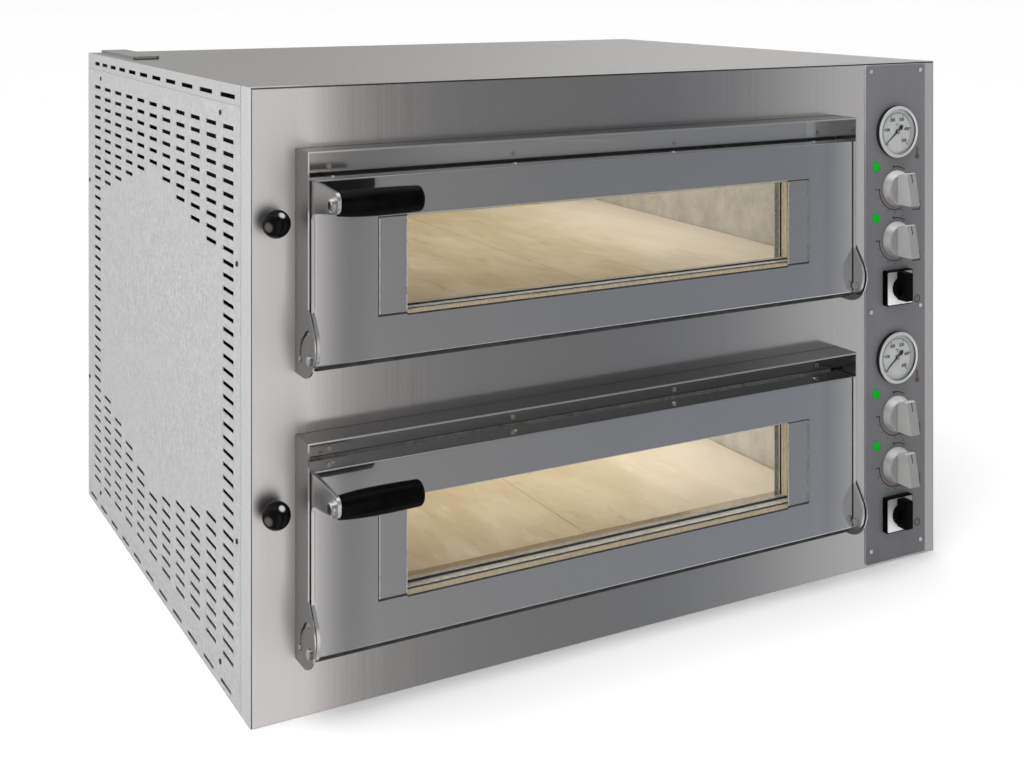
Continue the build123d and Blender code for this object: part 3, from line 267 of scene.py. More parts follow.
def plated(name, colour, rough=0.16, scratch=0.04):
    """Small plated hardware with turning marks and slight tarnish."""
    found, n = material(name)
    tarnish = n.noise((1, 1, 1), 420.0, 3.0)
    tint = n.mix(n.span(tarnish, 0.45, 0.75), colour, tuple(0.72 * c for c in colour[:3]) + (1.0,))
    lines = n.noise((1, 1, 1), 2600.0, 2.0)
    normal = n.bump(lines, scratch, 0.0002, n.rounded(0.0003))
    shader = principled(n, Base_Color=tint, Metallic=1.0, Normal=normal,
                        Roughness=n.span(tarnish, 0.3, 0.7, rough, rough * 1.9))
    finish_material(n, shader)
    return found


# ---------------------------------------------------------------- non-metals
def plastic(name, colour, rough, specular=0.5, grain=1500.0, depth=0.05, spread=0.25):
    """Moulded plastic with a fine grain and uneven sheen."""
    found, n = material(name)
    grit = n.noise((1, 1, 1), grain, 3.0)
    cloud = n.noise((1, 1, 1), 60.0, 3.0)
    low = tuple((1 - spread) * c for c in colour[:3]) + (1.0,)
    high = tuple(min(1.0, (1 + spread) * c) for c in colour[:3]) + (1.0,)
    tint = n.mix(n.span(cloud, 0.35, 0.65), low, high)
    normal = n.bump(grit, depth, 0.0002, n.rounded(0.0004))
    shader = principled(n, Base_Color=tint, Roughness=n.span(cloud, 0.3, 0.7, rough * 0.9, rough * 1.1),
                        Specular_IOR_Level=specular, Normal=normal)
    finish_material(n, shader)
    return found


def painted_print(name, colour, rough=0.5):
    """Screen-printed ink with small variations of density."""
    found, n = material(name)
    grit = n.noise((1, 1, 1), 2200.0, 2.0)
    low = tuple(0.85 * c for c in colour[:3]) + (1.0,)
    tint = n.mix(n.span(grit, 0.35, 0.65), low, colour)
    finish_material(n, principled(n, Base_Color=tint, Roughness=rough, Normal=n.bump(grit, 0.03, 0.0001)))
    return found


def glass(name, tint, reflect=1.0):
    """Thin clear pane: passes light straight, with a faint tint and a mirror sheen."""
    found, n = material(name)
    smear = n.noise((1, 1, 1), 9.0, 3.0)
    fresnel = n.add("ShaderNodeFresnel", IOR=1.5)
    inside = n.add("ShaderNodeNewGeometry").outputs["Backfacing"]
    outside = n.math("SUBTRACT", 1.0, inside)
    share = n.math("MULTIPLY", n.math("MULTIPLY", fresnel.outputs[0], reflect), outside)
    clear = n.add("ShaderNodeBsdfTransparent", Color=tint)
    shine = n.add("ShaderNodeBsdfGlossy", Color=rgb(1, 1, 1), Roughness=n.span(smear, 0.4, 0.7, 0.0, 0.05))
    finish_material(n, n.add("ShaderNodeMixShader", i0=share, i1=clear, i2=shine))
    return found


def pane_tape():
    """Tan glass-fibre tape with a faint glow of painted light, standing for the lit pane edge warming it a
    little.
    """
    found, n = material("pane_tape")
    weave = n.noise((900, 900, 120), 1.0, 4.0)
    tint = n.mix(n.span(weave, 0.35, 0.65), rgb(0.34, 0.27, 0.18), rgb(0.46, 0.38, 0.27))
    # Painted light: the tape glows a little.
    finish_material(n, principled(n, Base_Color=tint, Roughness=0.8, Specular_IOR_Level=0.1,
                                  Emission_Color=tint, Emission_Strength=0.55,
                                  Normal=n.bump(weave, 0.3, 0.0003)))
    return found


def fire_clay():
    """Cream slab with pale clouds, darker veins along the slab and small pits."""
    found, n = material("fire_clay")
    bed = n.noise((9, 4, 9), 1.6, 6.0, 0.62)
    veins = n.noise((34, 9, 34), 1.3, 9.0, 0.72)
    pits = n.noise((1, 1, 1), 260.0, 3.0)
    tint = n.mix(n.span(bed, 0.35, 0.68), rgb(0.60, 0.48, 0.31), rgb(0.70, 0.60, 0.43))
    tint = n.mix(n.span(veins, 0.54, 0.66, 0.0, 0.55), tint, rgb(0.48, 0.36, 0.22))
    tint = n.mix(n.span(veins, 0.44, 0.34, 0.0, 0.45), tint, rgb(0.80, 0.72, 0.56))
    tint = n.mix(n.span(pits, 0.66, 0.76, 0.0, 0.5), tint, rgb(0.36, 0.27, 0.17))
    across = n.place()[0]
    tint = n.mix(n.span(across, -0.02, 0.27, 0.0, 0.5), tint, rgb(0.86, 0.81, 0.75))
    height = n.math("SUBTRACT", n.math("MULTIPLY", veins, 0.5), n.span(pits, 0.64, 0.78))
    normal = n.bump(height, 0.25, 0.0006)
    finish_material(n, principled(n, Base_Color=tint, Roughness=0.75, Normal=normal))
    return found


def painted_shade_wool():
    """Mineral wool painted nearly black, as painted shade for what the slots of the panels show."""
    found, n = material("mineral_wool")
    fibre = n.noise((260, 26, 260), 1.0, 8.0, 0.75)
    clump = n.noise((1, 1, 1), 40.0, 4.0)
    # Painted shade: the wool is nearly black so that the slots look dark.
    tint = n.mix(n.span(fibre, 0.3, 0.7), rgb(0.030, 0.028, 0.026), rgb(0.060, 0.056, 0.050))
    tint = n.mix(n.span(clump, 0.5, 0.7, 0.0, 0.4), tint, rgb(0.020, 0.019, 0.018))
    finish_material(n, principled(n, Base_Color=tint, Roughness=0.95, Normal=n.bump(fibre, 0.8, 0.002)))
    return found


def rope():
    """Braided fibre seal."""
    found, n = material("fibre_rope")
    wave = n.add("ShaderNodeTexWave", {"bands_direction": "DIAGONAL"}, Vector=n.coords(), Scale=260.0,
                 Distortion=2.0, Detail=2.0)
    tint = n.mix(wave.outputs[1], rgb(0.38, 0.36, 0.32), rgb(0.70, 0.68, 0.62))
    finish_material(n, principled(n, Base_Color=tint, Roughness=0.9,
                                  Normal=n.bump(wave.outputs[1], 0.6, 0.0008)))
    return found


def instrument_plate():
    """Satin grey foil on the plate, pale grey on the faces not turned to the front."""
    found, n = material("instrument_plate")
    cloud = n.noise((30, 30, 4), 1.0, 3.0)
    grit = n.noise((1, 1, 1), 1800.0, 2.0)
    tint = n.mix(n.span(cloud, 0.3, 0.7), rgb(0.156, 0.158, 0.167), rgb(0.170, 0.172, 0.182))
    facing = n.facing()
    side = n.span(n.math("MULTIPLY", facing[1], -1.0), 0.9, 0.5)
    tint = n.mix(side, tint, rgb(0.55, 0.55, 0.55))
    finish_material(n, principled(n, Base_Color=tint, Roughness=0.42, Specular_IOR_Level=0.35,
                                  Normal=n.bump(grit, 0.06, 0.0002)))
    return found


def dial_paint():
    """Off-white enamel of the dials, clouded very slightly."""
    found, n = material("dial_paint")
    cloud = n.noise((1, 1, 1), 90.0, 3.0)
    tint = n.mix(n.span(cloud, 0.3, 0.7), rgb(0.53, 0.525, 0.52), rgb(0.585, 0.58, 0.575))
    finish_material(n, principled(n, Base_Color=tint, Roughness=0.45, Metallic=0.15,
                                  Normal=n.bump(cloud, 0.05, 0.0002)))
    return found


def lamp_green():
    """Lit indicator: brighter in the middle of the lens."""
    found, n = material("lamp_green")
    facing = n.add("ShaderNodeLayerWeight", Blend=0.35).outputs["Facing"]
    ribs = n.noise((1, 1, 1), 900.0, 2.0)
    tint = n.mix(n.span(facing, 0.0, 0.8), rgb(0.001, 0.30, 0.006), rgb(0.001, 0.16, 0.004))
    normal = n.bump(ribs, 0.1, 0.0002)
    finish_material(n, principled(n, Base_Color=tint, Roughness=0.3, Emission_Color=tint,
                                  Emission_Strength=0.60, Specular_IOR_Level=0.04, Normal=normal))
    return found


def switch_plate():
    """Satin plate of the rotary switch; painted shade makes it greyer towards its top."""
    found, n = material("switch_plate")
    height = n.place()[2]
    in_upper_deck = n.math("GREATER_THAN", height, 0.2)
    height_in_deck = n.math("SUBTRACT", height, n.math("MULTIPLY", in_upper_deck, DECKS["upper"]))
    brush = n.noise((30, 30, 900), 1.0, 3.0)
    # Painted shade: darker over the upper part of the plate.
    share = n.math("ADD", n.span(height_in_deck, 0.088, 0.050, 0.29, 0.85),
                   n.span(brush, 0.3, 0.7, -0.02, 0.02, False))
    finish_material(n, principled(n, Base_Color=scaled(n, (1.0, 1.0, 1.0), share), Roughness=0.35,
                                  Normal=n.bump(brush, 0.03, 0.0001, n.rounded(0.0004))))
    return found


def ball_plastic():
    """Polished black ball with the glints of two softboxes."""
    found, n = material("ball_plastic")
    turned = n.add("ShaderNodeNewGeometry").outputs["Normal"]
    grit = n.noise((1, 1, 1), 900.0, 3.0)

    def glint(direction, low, high, strength):
        towards = n.add("ShaderNodeVectorMath", {"operation": "DOT_PRODUCT"}, i0=turned, i1=direction)
        return n.span(towards.outputs["Value"], low, high, 0.0, strength)

    light = n.math("ADD", glint((0.18, -0.69, 0.70), 0.955, 0.995, 0.55),
                   glint((-0.80, -0.58, -0.10), 0.90, 0.99, 0.10))
    tint = n.mix(grit, rgb(0.002, 0.002, 0.002), rgb(0.004, 0.004, 0.004))
    finish_material(n, principled(n, Base_Color=tint, Roughness=0.14, Specular_IOR_Level=0.10,
                                  Emission_Color=rgb(1, 1, 1), Emission_Strength=light,
                                  Normal=n.bump(grit, 0.01, 0.0002)))
    return found


def knob_silver():
    """Satin silver plastic with painted light: pale on top and on the left flanks, painted shade towards the
    user.
    """
    found, n = material("knob_silver")
    facing = n.facing()
    grit = n.noise((1, 1, 1), 1200.0, 3.0)
    ribs = n.noise((900, 60, 60), 1.0, 3.0)
    share = n.span(ribs, 0.3, 0.7, 0.40, 0.45, False)
    # Painted light and shade by facing: tops and left flanks paler, faces towards the user darker.
    for extra in (n.span(facing[2], 0.35, 0.80, 0.0, 0.50), n.span(facing[0], -0.75, -0.97, 0.0, 0.20),
                  n.span(n.math("MULTIPLY", facing[1], -1.0), 0.85, 0.98, 0.0, -0.09)):
        share = n.math("ADD", share, extra)
    tint = scaled(n, (1.0, 0.99, 0.98), share)
    finish_material(n, principled(n, Base_Color=tint, Metallic=0.35, Roughness=0.36,
                                  Normal=n.bump(grit, 0.04, 0.0002, n.rounded(0.0006))))
    return found


def screw_metal():
    """Zinc screws; those of the control plate are nickel bright."""
    found, n = material("screw_metal")
    tarnish = n.noise((1, 1, 1), 420.0, 3.0)
    across, depth, _ = n.place()[:3]
    on_plate = n.math("MULTIPLY", n.math("GREATER_THAN", across, 0.375), n.math("LESS_THAN", depth, -0.35))
    warm = n.mix(n.span(tarnish, 0.45, 0.75), rgb(0.62, 0.57, 0.46), rgb(0.40, 0.36, 0.28))
    tint = n.mix(on_plate, warm, rgb(0.92, 0.92, 0.94))
    tint = n.mix(n.math("LESS_THAN", across, LEFT + SKIN), tint, rgb(0.12, 0.115, 0.11))
    normal = n.bump(n.noise((1, 1, 1), 2600.0, 2.0), 0.05, 0.0002, n.rounded(0.0005))
    finish_material(n, principled(n, Base_Color=tint, Metallic=1.0, Normal=normal,
                                  Roughness=n.span(tarnish, 0.3, 0.7, 0.18, 0.34)))
    return found


def bezel_metal():
    """Satin nickel ring whose drum side is near black."""
    found, n = material("bezel_metal")
    facing = n.facing()
    side = n.span(n.math("MULTIPLY", facing[1], -1.0), 0.45, 0.2)
    turning = n.noise((1, 1, 1), 1500.0, 2.0)
    tint = n.mix(side, rgb(0.66, 0.66, 0.67), rgb(0.012, 0.012, 0.012))
    rough = n.mix(side, rgb(0.30, 0.30, 0.30), rgb(0.16, 0.16, 0.16))
    metal = n.span(side, 0.0, 1.0, 0.55, 0.0)
    finish_material(n, principled(n, Base_Color=tint, Metallic=metal, Roughness=rough,
                                  Normal=n.bump(turning, 0.03, 0.0001, n.rounded(0.0003))))
    return found


# ---------------------------------------------------------------- shares of reflected room
def door_mask(n, tint):
    """Both ends of each door mirror a slightly darker part of the room."""
    across = n.place()[0]
    left_end = n.span(across, -0.405, -0.365, 0.81, 1.0)
    right_end = n.span(across, 0.255, 0.275, 1.0, 0.86)
    return scaled(n, tint, n.math("MULTIPLY", left_end, right_end))


def deck_mask(n, tint):
    """Painted shade and reflection: darker on the lower deck, where the strip over the door looks into its
    own shadow; on the upper deck darker to the left and brighter at the right end; warm sills, a painted
    reflection of the stones.
    """
    across, depth, height = n.place()[:3]
    lower = n.math("MULTIPLY", n.span(across, -0.40, 0.30, 0.25, 0.17),
                   n.span(height, 0.297, 0.291, 1.0, 1.9))
    upper = n.math("MULTIPLY", n.span(across, -0.40, -0.22, 0.62, 1.05),
                   n.span(across, 0.271, 0.2725, 1.0, 2.5))
    share = n.add("ShaderNodeMix", i0=n.span(height, 0.30, 0.56), i2=lower, i3=upper).outputs[0]
    # Painted reflection of the stones on the sills.
    sill_stone_reflection = n.math("GREATER_THAN", depth, FRONT + 0.0045)
    return n.mix(sill_stone_reflection, scaled(n, tint, share), rgb(0.88, 0.80, 0.70))


def hood_mask(n, tint):
    """The upward face of each hood mirrors the shaded room above the user; the left wall is in shade."""
    facing = n.facing()
    across, _, height = n.place()[:3]
    share = n.span(across, -0.40, 0.30, 0.40, 0.27)
    for change in (n.span(height, 0.34, 0.60, 1.08, 0.74), n.span(across, 0.22, 0.32, 1.0, 0.55),
                   n.span(across, -0.43, -0.30, 0.66, 1.08)):
        share = n.math("MULTIPLY", share, change)
    tint = n.mix(n.span(facing[2], 0.5, 0.95), tint, scaled(n, tint, share))
    return n.mix(n.span(facing[0], -0.6, -0.95), tint, scaled(n, tint, 0.47))


def arm_mask(n, tint):
    """The upper arms stand in a darker part of the room than the lower ones."""
    return scaled(n, tint, n.span(n.place()[2], 0.33, 0.50, 1.0, 0.76))


# ---------------------------------------------------------------- materials by slot
STEEL = (0.665, 0.655, 0.65)
DOOR_STEEL = (0.94, 0.94, 0.95)

SLOT_MATERIALS = {
    "brushed_stainless": sheet_metal("brushed_stainless", STEEL, 0.155, 0.5, (420, 420, 3), fold=True,
                                     haze_share=0.12, bow=0.0227),
    "stainless_door": sheet_metal("stainless_door", DOOR_STEEL, 0.055, 0.3, (3, 500, 500), 0.012,
                                  haze_share=0.12, mask=door_mask),
    "bright_stainless": sheet_metal("bright_stainless", (0.80, 0.80, 0.80), 0.07, 0.35, (4, 300, 300), 0.03,
                                    edge=0.0004, haze_share=0.25),
    "galvanised_sheet": galvanised("galvanised_sheet", (0.70, 0.70, 0.705), spangle=0.12, grit=0.08),
    "aluminised_sheet": galvanised("aluminised_sheet", (0.60, 0.585, 0.55), 0.25, 0.5, (9, 9, 9), 0.10, 0.16),
    "plated_screw": plated("plated_screw", rgb(0.62, 0.58, 0.48), 0.22),
    "plated_bolt": plated("plated_bolt", rgb(0.80, 0.80, 0.80), 0.12),
    "fibre_rope": rope(),
    "element_sheath": galvanised("element_sheath", (0.12, 0.105, 0.10), 0.7, 0.5, (6, 60, 60), 0.10, 0.2),
    "fire_clay": fire_clay(),
    "mineral_wool": painted_shade_wool(),
    "instrument_plate": instrument_plate(),
    "gauge_case_sheet": galvanised("gauge_case_sheet", (0.45, 0.45, 0.45), 0.8, 0.35),
    "bezel_chrome": plated("bezel_chrome", rgb(0.82, 0.82, 0.83), 0.10, 0.01),
    "dial_paint": dial_paint(),
    "needle_paint": plastic("needle_paint", rgb(0.004, 0.004, 0.004), 0.6, 0.05),
    "clear_glass": glass("clear_glass", rgb(0.97, 0.98, 0.98), 0.35),
    "door_glass": glass("door_glass", rgb(0.97, 0.975, 0.965), 0.25),
    "dark_plastic": plastic("dark_plastic", rgb(0.03, 0.03, 0.03), 0.5),
    "grip_plastic": plastic("grip_plastic", rgb(0.002, 0.002, 0.002), 0.24, 0.045, 1600.0, 0.05),
    "ball_plastic": ball_plastic(),
    "knob_silver": knob_silver(),
    "lamp_green": lamp_green(),
    "switch_black": plastic("switch_black", rgb(0.002, 0.002, 0.002), 0.30, 0.04),
    "switch_escutcheon": switch_plate(),
    "rod_steel": plated("rod_steel", rgb(0.60, 0.60, 0.60), 0.2),
    "gland_plastic": plastic("gland_plastic", rgb(0.03, 0.03, 0.03), 0.45),
    "terminal_plastic": plastic("terminal_plastic", rgb(0.60, 0.57, 0.50), 0.5),
}
TOP_METAL = galvanised("cover_sheet", (0.46, 0.455, 0.445), 0.8, 0.36, (10, 130, 130), 0.02, 0.10,
                       sides=(0.68, 0.68, 0.68))
# Nearly black sheet for the flue duct.
DARK_DUCT_SHEET = galvanised("dark_duct_sheet", (0.05, 0.048, 0.046), 0.3, 0.6, (20, 20, 20), 0.1, 0.3)
INK_RED = painted_print("ink_red", rgb(0.075, 0.006, 0.014))
# Black ink for the prints, also used as painted shade in the bolt sockets.
INK_AND_SHADE_BLACK = painted_print("ink_and_shade_black", rgb(0.010, 0.010, 0.010), 0.7)
TAPE = pane_tape()
# Black rubber for beads, also used for lines of painted shade in gaps.
SEAL_AND_SHADE_BLACK = plastic("black_seal_and_shade", rgb(0.040, 0.040, 0.042), 0.6, 0.1)
MOTTLED = galvanised("lip_sheet", (0.34, 0.33, 0.30), 0.3, 0.45, (45, 400, 400), 0.3, 0.75)
# Pale sheet for the pane clips and for a painted highlight on the rail.
CLIP_AND_HIGHLIGHT = galvanised("clip_and_highlight_sheet", (0.62, 0.60, 0.55), 0.3, 0.45, (45, 400, 400), 0.3, 0.35)
# Bright metal for painted highlights on edges.
EDGE_HIGHLIGHT = plated("edge_highlight", rgb(0.85, 0.85, 0.86), 0.45)
BRASS = plated("hub_brass", rgb(0.50, 0.40, 0.16), 0.3)


def dress(node_name, found):
    """Gives a CAD node its material."""
    slots = NODES[node_name].data.materials
    slots.clear()
    slots.append(found)


for part in frame["record"]["subparts"]:
    dress(part["node"], SLOT_MATERIALS[part["material_slot"]])

hood_steel = sheet_metal("hood_steel", (0.78, 0.78, 0.78), 0.14, 0.45, (3, 400, 400), edge=0.0009,
                         haze_share=0.2, mask=hood_mask)
arm_steel = sheet_metal("arm_steel", (0.90, 0.90, 0.90), 0.24, 0.5, (300, 300, 8), 0.03, edge=0.0009,
                        haze_share=0.3, mask=arm_mask)
header_steel = sheet_metal("header_steel", (0.80, 0.80, 0.80), 0.10, 0.4, (3, 90, 90), 0.05,
                           haze_share=0.25, mask=deck_mask)
liner_sheet = galvanised("liner_sheet", (0.60, 0.575, 0.53), 0.45, 0.38, (14, 60, 60), 0.25, 0.20)

dress("mouth_frames", header_steel)
dress("gauge_bezels", bezel_metal())
dress("flue_duct", DARK_DUCT_SHEET)
for node_name in ("top_cover", "steam_outlet_cowl"):
    dress(node_name, TOP_METAL)
for node_name in ("casing_screws", "header_screws"):
    dress(node_name, screw_metal())
for deck in DECKS:
    dress(f"{deck}_door_surround", hood_steel)
    dress(f"{deck}_door_arm_left", arm_steel)
    dress(f"{deck}_door_arm_right", arm_steel)
    dress(f"{deck}_door_liner", liner_sheet)


# ---------------------------------------------------------------- new pieces
def new_piece(name, mesh_or_bm, body, found):
    """Links a finished mesh as a piece of the object."""
    if isinstance(mesh_or_bm, bmesh.types.BMesh):
        mesh = bpy.data.meshes.new(name)
        mesh_or_bm.to_mesh(mesh)
        mesh_or_bm.free()
    else:
        mesh = mesh_or_bm
    obj = bpy.data.objects.new(name, mesh)
    bpy.context.scene.collection.objects.link(obj)
    mesh.materials.clear()
    mesh.materials.append(found)
    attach(obj, body)
    return obj


def around(centre, radius, degrees):
    """The (x, z) point at an angle round a centre, from +X towards +Z."""
    return (centre[0] + radius * cos(radians(degrees)), centre[1] + radius * sin(radians(degrees)))


def flat_shape(bm, points, y, depth=0.00012):
    """Extrudes a closed outline of (x, z) points a hair's breadth towards the user."""
    front = [bm.verts.new((x, y - depth, z)) for x, z in points]
    back = [bm.verts.new((x, y, z)) for x, z in points]
    bm.faces.new(front)
    bm.faces.new(list(reversed(back)))
    count = len(points)
    for i in range(count):
        j = (i + 1) % count
        bm.faces.new((front[i], back[i], back[j], front[j]))


def arc_band(bm, centre, radius, width, start, end, y, steps=28):
    """A ring segment between two angles in degrees."""
    angles = [start + (end - start) * i / steps for i in range(steps + 1)]
    outer = [around(centre, radius + width / 2, angle) for angle in angles]
    inner = [around(centre, radius - width / 2, angle) for angle in angles]
    for i in range(steps):
        flat_shape(bm, [outer[i], outer[i + 1], inner[i + 1], inner[i]], y)


def bar(bm, a, b, width, y):
    """A straight stroke from a to b."""
    direction = (Vector(b) - Vector(a)).normalized()
    side = Vector((-direction.y, direction.x)) * width / 2
    corners = [Vector(a) + side, Vector(b) + side, Vector(b) - side, Vector(a) - side]
    flat_shape(bm, [tuple(c) for c in corners], y)


def disc(bm, centre, radius, y, steps=20):
    """A round dot."""
    flat_shape(bm, [around(centre, radius, 360 * i / steps) for i in range(steps)], y)


def strip(bm, x, y, z, ease=0.15):
    """A tape or bead with eased edges, in drawing millimetres."""
    made = bmesh.ops.create_cube(bm, size=1.0)
    low, high = mm(x[0], y[0], z[0]), mm(x[1], y[1], z[1])
    for vert in made["verts"]:
        for axis in range(3):
            vert.co[axis] = low[axis] + (vert.co[axis] + 0.5) * (high[axis] - low[axis])
    edges = {edge for vert in made["verts"] for edge in vert.link_edges}
    limit = min(high[axis] - low[axis] for axis in range(3)) / 3
    bmesh.ops.bevel(bm, geom=list(edges), offset=min(ease / 1000, limit), segments=2, affect="EDGES")


def door_seals(deck, rise):
    """Tapes and clips of the panes with a painted highlight on the rail, painted highlights and painted shade
    outlining the retainers, dark beads at the inner pane, and lines of painted shade under the window, along
    the door and beside the arms.

    All in drawing millimetres: x from the left face, y behind the front face, z above the deck's own base.
    """
    body = f"{deck}_door"
    window_x = (151.0, 724.9)           # clear width of the window
    pane_z = (128.0, 230.0)             # height of the inner pane between its beads
    right_edge_z = (128.6, 229.4)       # height of the tapes on the window's right side

    def piece(name, strips, rider, found):
        """One piece out of strips, each given by its x, y and z spans and the ease of its edges."""
        bm = bmesh.new()
        for x, y, z, ease in strips:
            strip(bm, x, y, (z[0] + 1000 * rise, z[1] + 1000 * rise), ease)
        new_piece(f"{deck}_{name}", bm, rider, found)

    outer_tape_y = (-30.5, -28.8)
    piece("outer_pane_tape", [
        ((137, 738), outer_tape_y, (114.5, 126.0), 0.15),
        ((137, 738), outer_tape_y, (232.0, 243.5), 0.15),
        ((137, 151), outer_tape_y, (126.0, 232.0), 0.15),
        ((724, 738), outer_tape_y, (126.0, 232.0), 0.15),
        ((720.8, 724.9), (-8.9, -8.05), right_edge_z, 0.1),
        ((724.3, 724.9), (-12.6, -9.0), right_edge_z, 0.1),
    ], body, TAPE)

    # Dark beads at the inner pane, with lines of painted shade along the window's bottom edges.
    piece("inner_pane_bead_and_shade", [
        (window_x, (-15.0, -10.2), (127.05, 127.9), 0.2),
        (window_x, (-30.4, -27.8), (127.05, 127.5), 0.2),
        ((724.3, 724.9), (-20.0, -12.8), right_edge_z, 0.1),
        ((152.4, 154.8), (-3.9, -3.4), pane_z, 0.1),
        ((720.2, 722.6), (-3.9, -3.4), pane_z, 0.1),
        ((168.4, 706.6), (-37.3, -37.02), (121.9, 123.9), 0.1),
    ], body, SEAL_AND_SHADE_BLACK)

    # Clips of the inner pane, and a pale strip that is a painted highlight along the rail.
    piece("inner_pane_clips_and_highlight", [
        ((156.5, 163.6), (-3.9, -3.1), pane_z, 0.2),
        ((711.4, 718.7), (-3.9, -3.1), pane_z, 0.2),
        (window_x, (-27.6, -21.5), (127.05, 127.8), 0.3),
        (window_x, (-10.0, -8.1), (127.05, 128.2), 0.3),
    ], body, CLIP_AND_HIGHLIGHT)

    # Painted highlights: bright strips on the retainers' edges.
    piece("retainer_edge_highlights", [
        (x, (-37.05, -36.8), (126.4, 231.6), 0.1)
        for x in ((134.3, 135.7), (167.0, 168.3), (706.8, 708.1), (739.2, 740.4))
    ], body, EDGE_HIGHLIGHT)

    # Painted shade: dark strips in the gaps round each retainer.
    gap_shade_strips = []
    for joint_x, retainer_x in (((133.05, 134.0), (133.8, 168.3)), ((741.0, 741.95), (706.7, 741.2))):
        gap_shade_strips += [
            (joint_x, (-36.9, -36.0), (124.2, 233.8), 0.1),
            (retainer_x, (-37.2, -36.2), (123.6, 125.6), 0.1),
            (retainer_x, (-36.75, -36.2), (232.2, 233.9), 0.1),
        ]
    piece("retainer_gap_shade", gap_shade_strips, body, SEAL_AND_SHADE_BLACK)

    # Painted shade: dark strips in the gaps under the door and beside it.
    piece("door_edge_shade_lines", [
        ((61.0, 814.0), (-34.5, -30.5), (72.6, 77.4), 0.5),
        ((814.7, 815.9), (-37.35, -36.6), (80.0, 277.5), 0.2),
        ((59.1, 60.0), (-37.2, -36.6), (140.0, 236.0), 0.2),
    ], body, SEAL_AND_SHADE_BLACK)

    # Painted shade: dark strips in the gaps beside the door arms.
    piece("arm_gap_shade", [
        ((820.15, 821.35), (-36.6, -35.0), (142.0, 278.0), 0.1),
        ((53.65, 54.85), (-36.6, -35.0), (142.0, 278.0), 0.1),
    ], CASING, SEAL_AND_SHADE_BLACK)


def header_trims():
    """The lip of mottled sheet behind the lower door's top edge, and a dark strip of painted shade in the gap
    over the upper one.
    """
    trim = bmesh.new()
    strip(trim, (64, 811), (0.4, 2.9), (276.6, 280.6), 0.3)
    new_piece("lower_header_trim", trim, CASING, MOTTLED)
    # Painted shade: a dark strip in the gap over the upper door.
    header_gap_shade = bmesh.new()
    strip(header_gap_shade, (56, 819), (0.6, 2.9), (589.4, 593.4), 0.3)
    new_piece("upper_header_gap_shade", header_gap_shade, CASING, SEAL_AND_SHADE_BLACK)


def outlet_baffle():
    """Plate just inside the front mouth of the steam outlet, with a gap left over the lid."""
    low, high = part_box("steam_outlet_cowl")
    left, right = 1000 * (low[0] - LEFT), 1000 * (high[0] - LEFT)
    mouth = 1000 * (low[1] - FRONT)
    plate = bmesh.new()
    strip(plate, (left + 2, right - 2), (mouth + 2.5, mouth + 3.3),
          (1000 * HEIGHT + 1.2, 1000 * high[2] - 1.5), 0.2)
    new_piece("steam_outlet_baffle", plate, CASING, TOP_METAL)


def handle_socket(deck, rise):
    """Black hexagon of painted shade, standing for the hollow socket inside the handle bolt."""
    bm = bmesh.new()
    rings = []
    for depth, radius in ((0.0499, 0.00475), (0.0512, 0.00470), (0.0524, 0.0034), (0.0527, 0.0016)):
        corners = [around((BOLT_Y, BOLT_Z + rise), radius, 60 * i) for i in range(6)]
        rings.append([bm.verts.new((LEFT + depth, y, z)) for y, z in corners])
    for a, b in zip(rings, rings[1:]):
        for i in range(6):
            j = (i + 1) % 6
            bm.faces.new((a[i], a[j], b[j], b[i]))
    bm.faces.new(rings[0])
    bm.faces.new(list(reversed(rings[-1])))
    new_piece(f"{deck}_bolt_socket", bm, f"{deck}_door", INK_AND_SHADE_BLACK)


def dial_print(deck, rise):
    """Scale of the gauge: fine, middle and long ticks, the figures and the unit."""
    centre = (CONTROL_X, GAUGE_Z + rise)
    bm = bmesh.new()
    arc_band(bm, centre, 0.0262, 0.00035, GAUGE_START, GAUGE_START - GAUGE_SWEEP, DIAL_FACE, 72)
    ticks, ticks_to_figure = 50, 10
    for tick in range(ticks + 1):
        angle = GAUGE_START - GAUGE_SWEEP * tick / ticks
        long = tick % ticks_to_figure == 0
        middle = tick % (ticks_to_figure // 2) == 0
        inner = 0.0222 if long else 0.0236 if middle else 0.0248
        bar(bm, around(centre, inner, angle), around(centre, 0.0268, angle), 0.0009 if long else 0.00045,
            DIAL_FACE)
    new_piece(f"{deck}_gauge_scale", bm, CASING, INK_AND_SHADE_BLACK)
    for count, figure in enumerate(GAUGE_FIGURES, 1):
        angle = GAUGE_START - GAUGE_SWEEP * count / len(GAUGE_FIGURES)
        text(f"{deck}_gauge_figure_{figure}", figure, around(centre, 0.0182, angle), 0.0064, DIAL_FACE)
    text(f"{deck}_gauge_unit", "°C", (centre[0], centre[1] + 0.0095), 0.0042, DIAL_FACE)


def text(name, words, centre, size, y):
    """Flat figures on the dial, turned into a mesh."""
    curve = bpy.data.curves.new(name, "FONT")
    curve.body = words
    curve.size = size
    curve.align_x = "CENTER"
    curve.align_y = "CENTER"
    curve.extrude = 0.00005
    curve.offset = 0.00018
    holder = bpy.data.objects.new(name + "_curve", curve)
    bpy.context.scene.collection.objects.link(holder)
    bpy.context.view_layer.update()
    mesh = bpy.data.meshes.new_from_object(holder.evaluated_get(bpy.context.evaluated_depsgraph_get()))
    bpy.data.objects.remove(holder)
    mesh.transform(Matrix.Translation((centre[0], y - 0.00006, centre[1])) @ Matrix.Rotation(pi / 2, 4, "X"))
    new_piece(name, mesh, CASING, INK_AND_SHADE_BLACK)


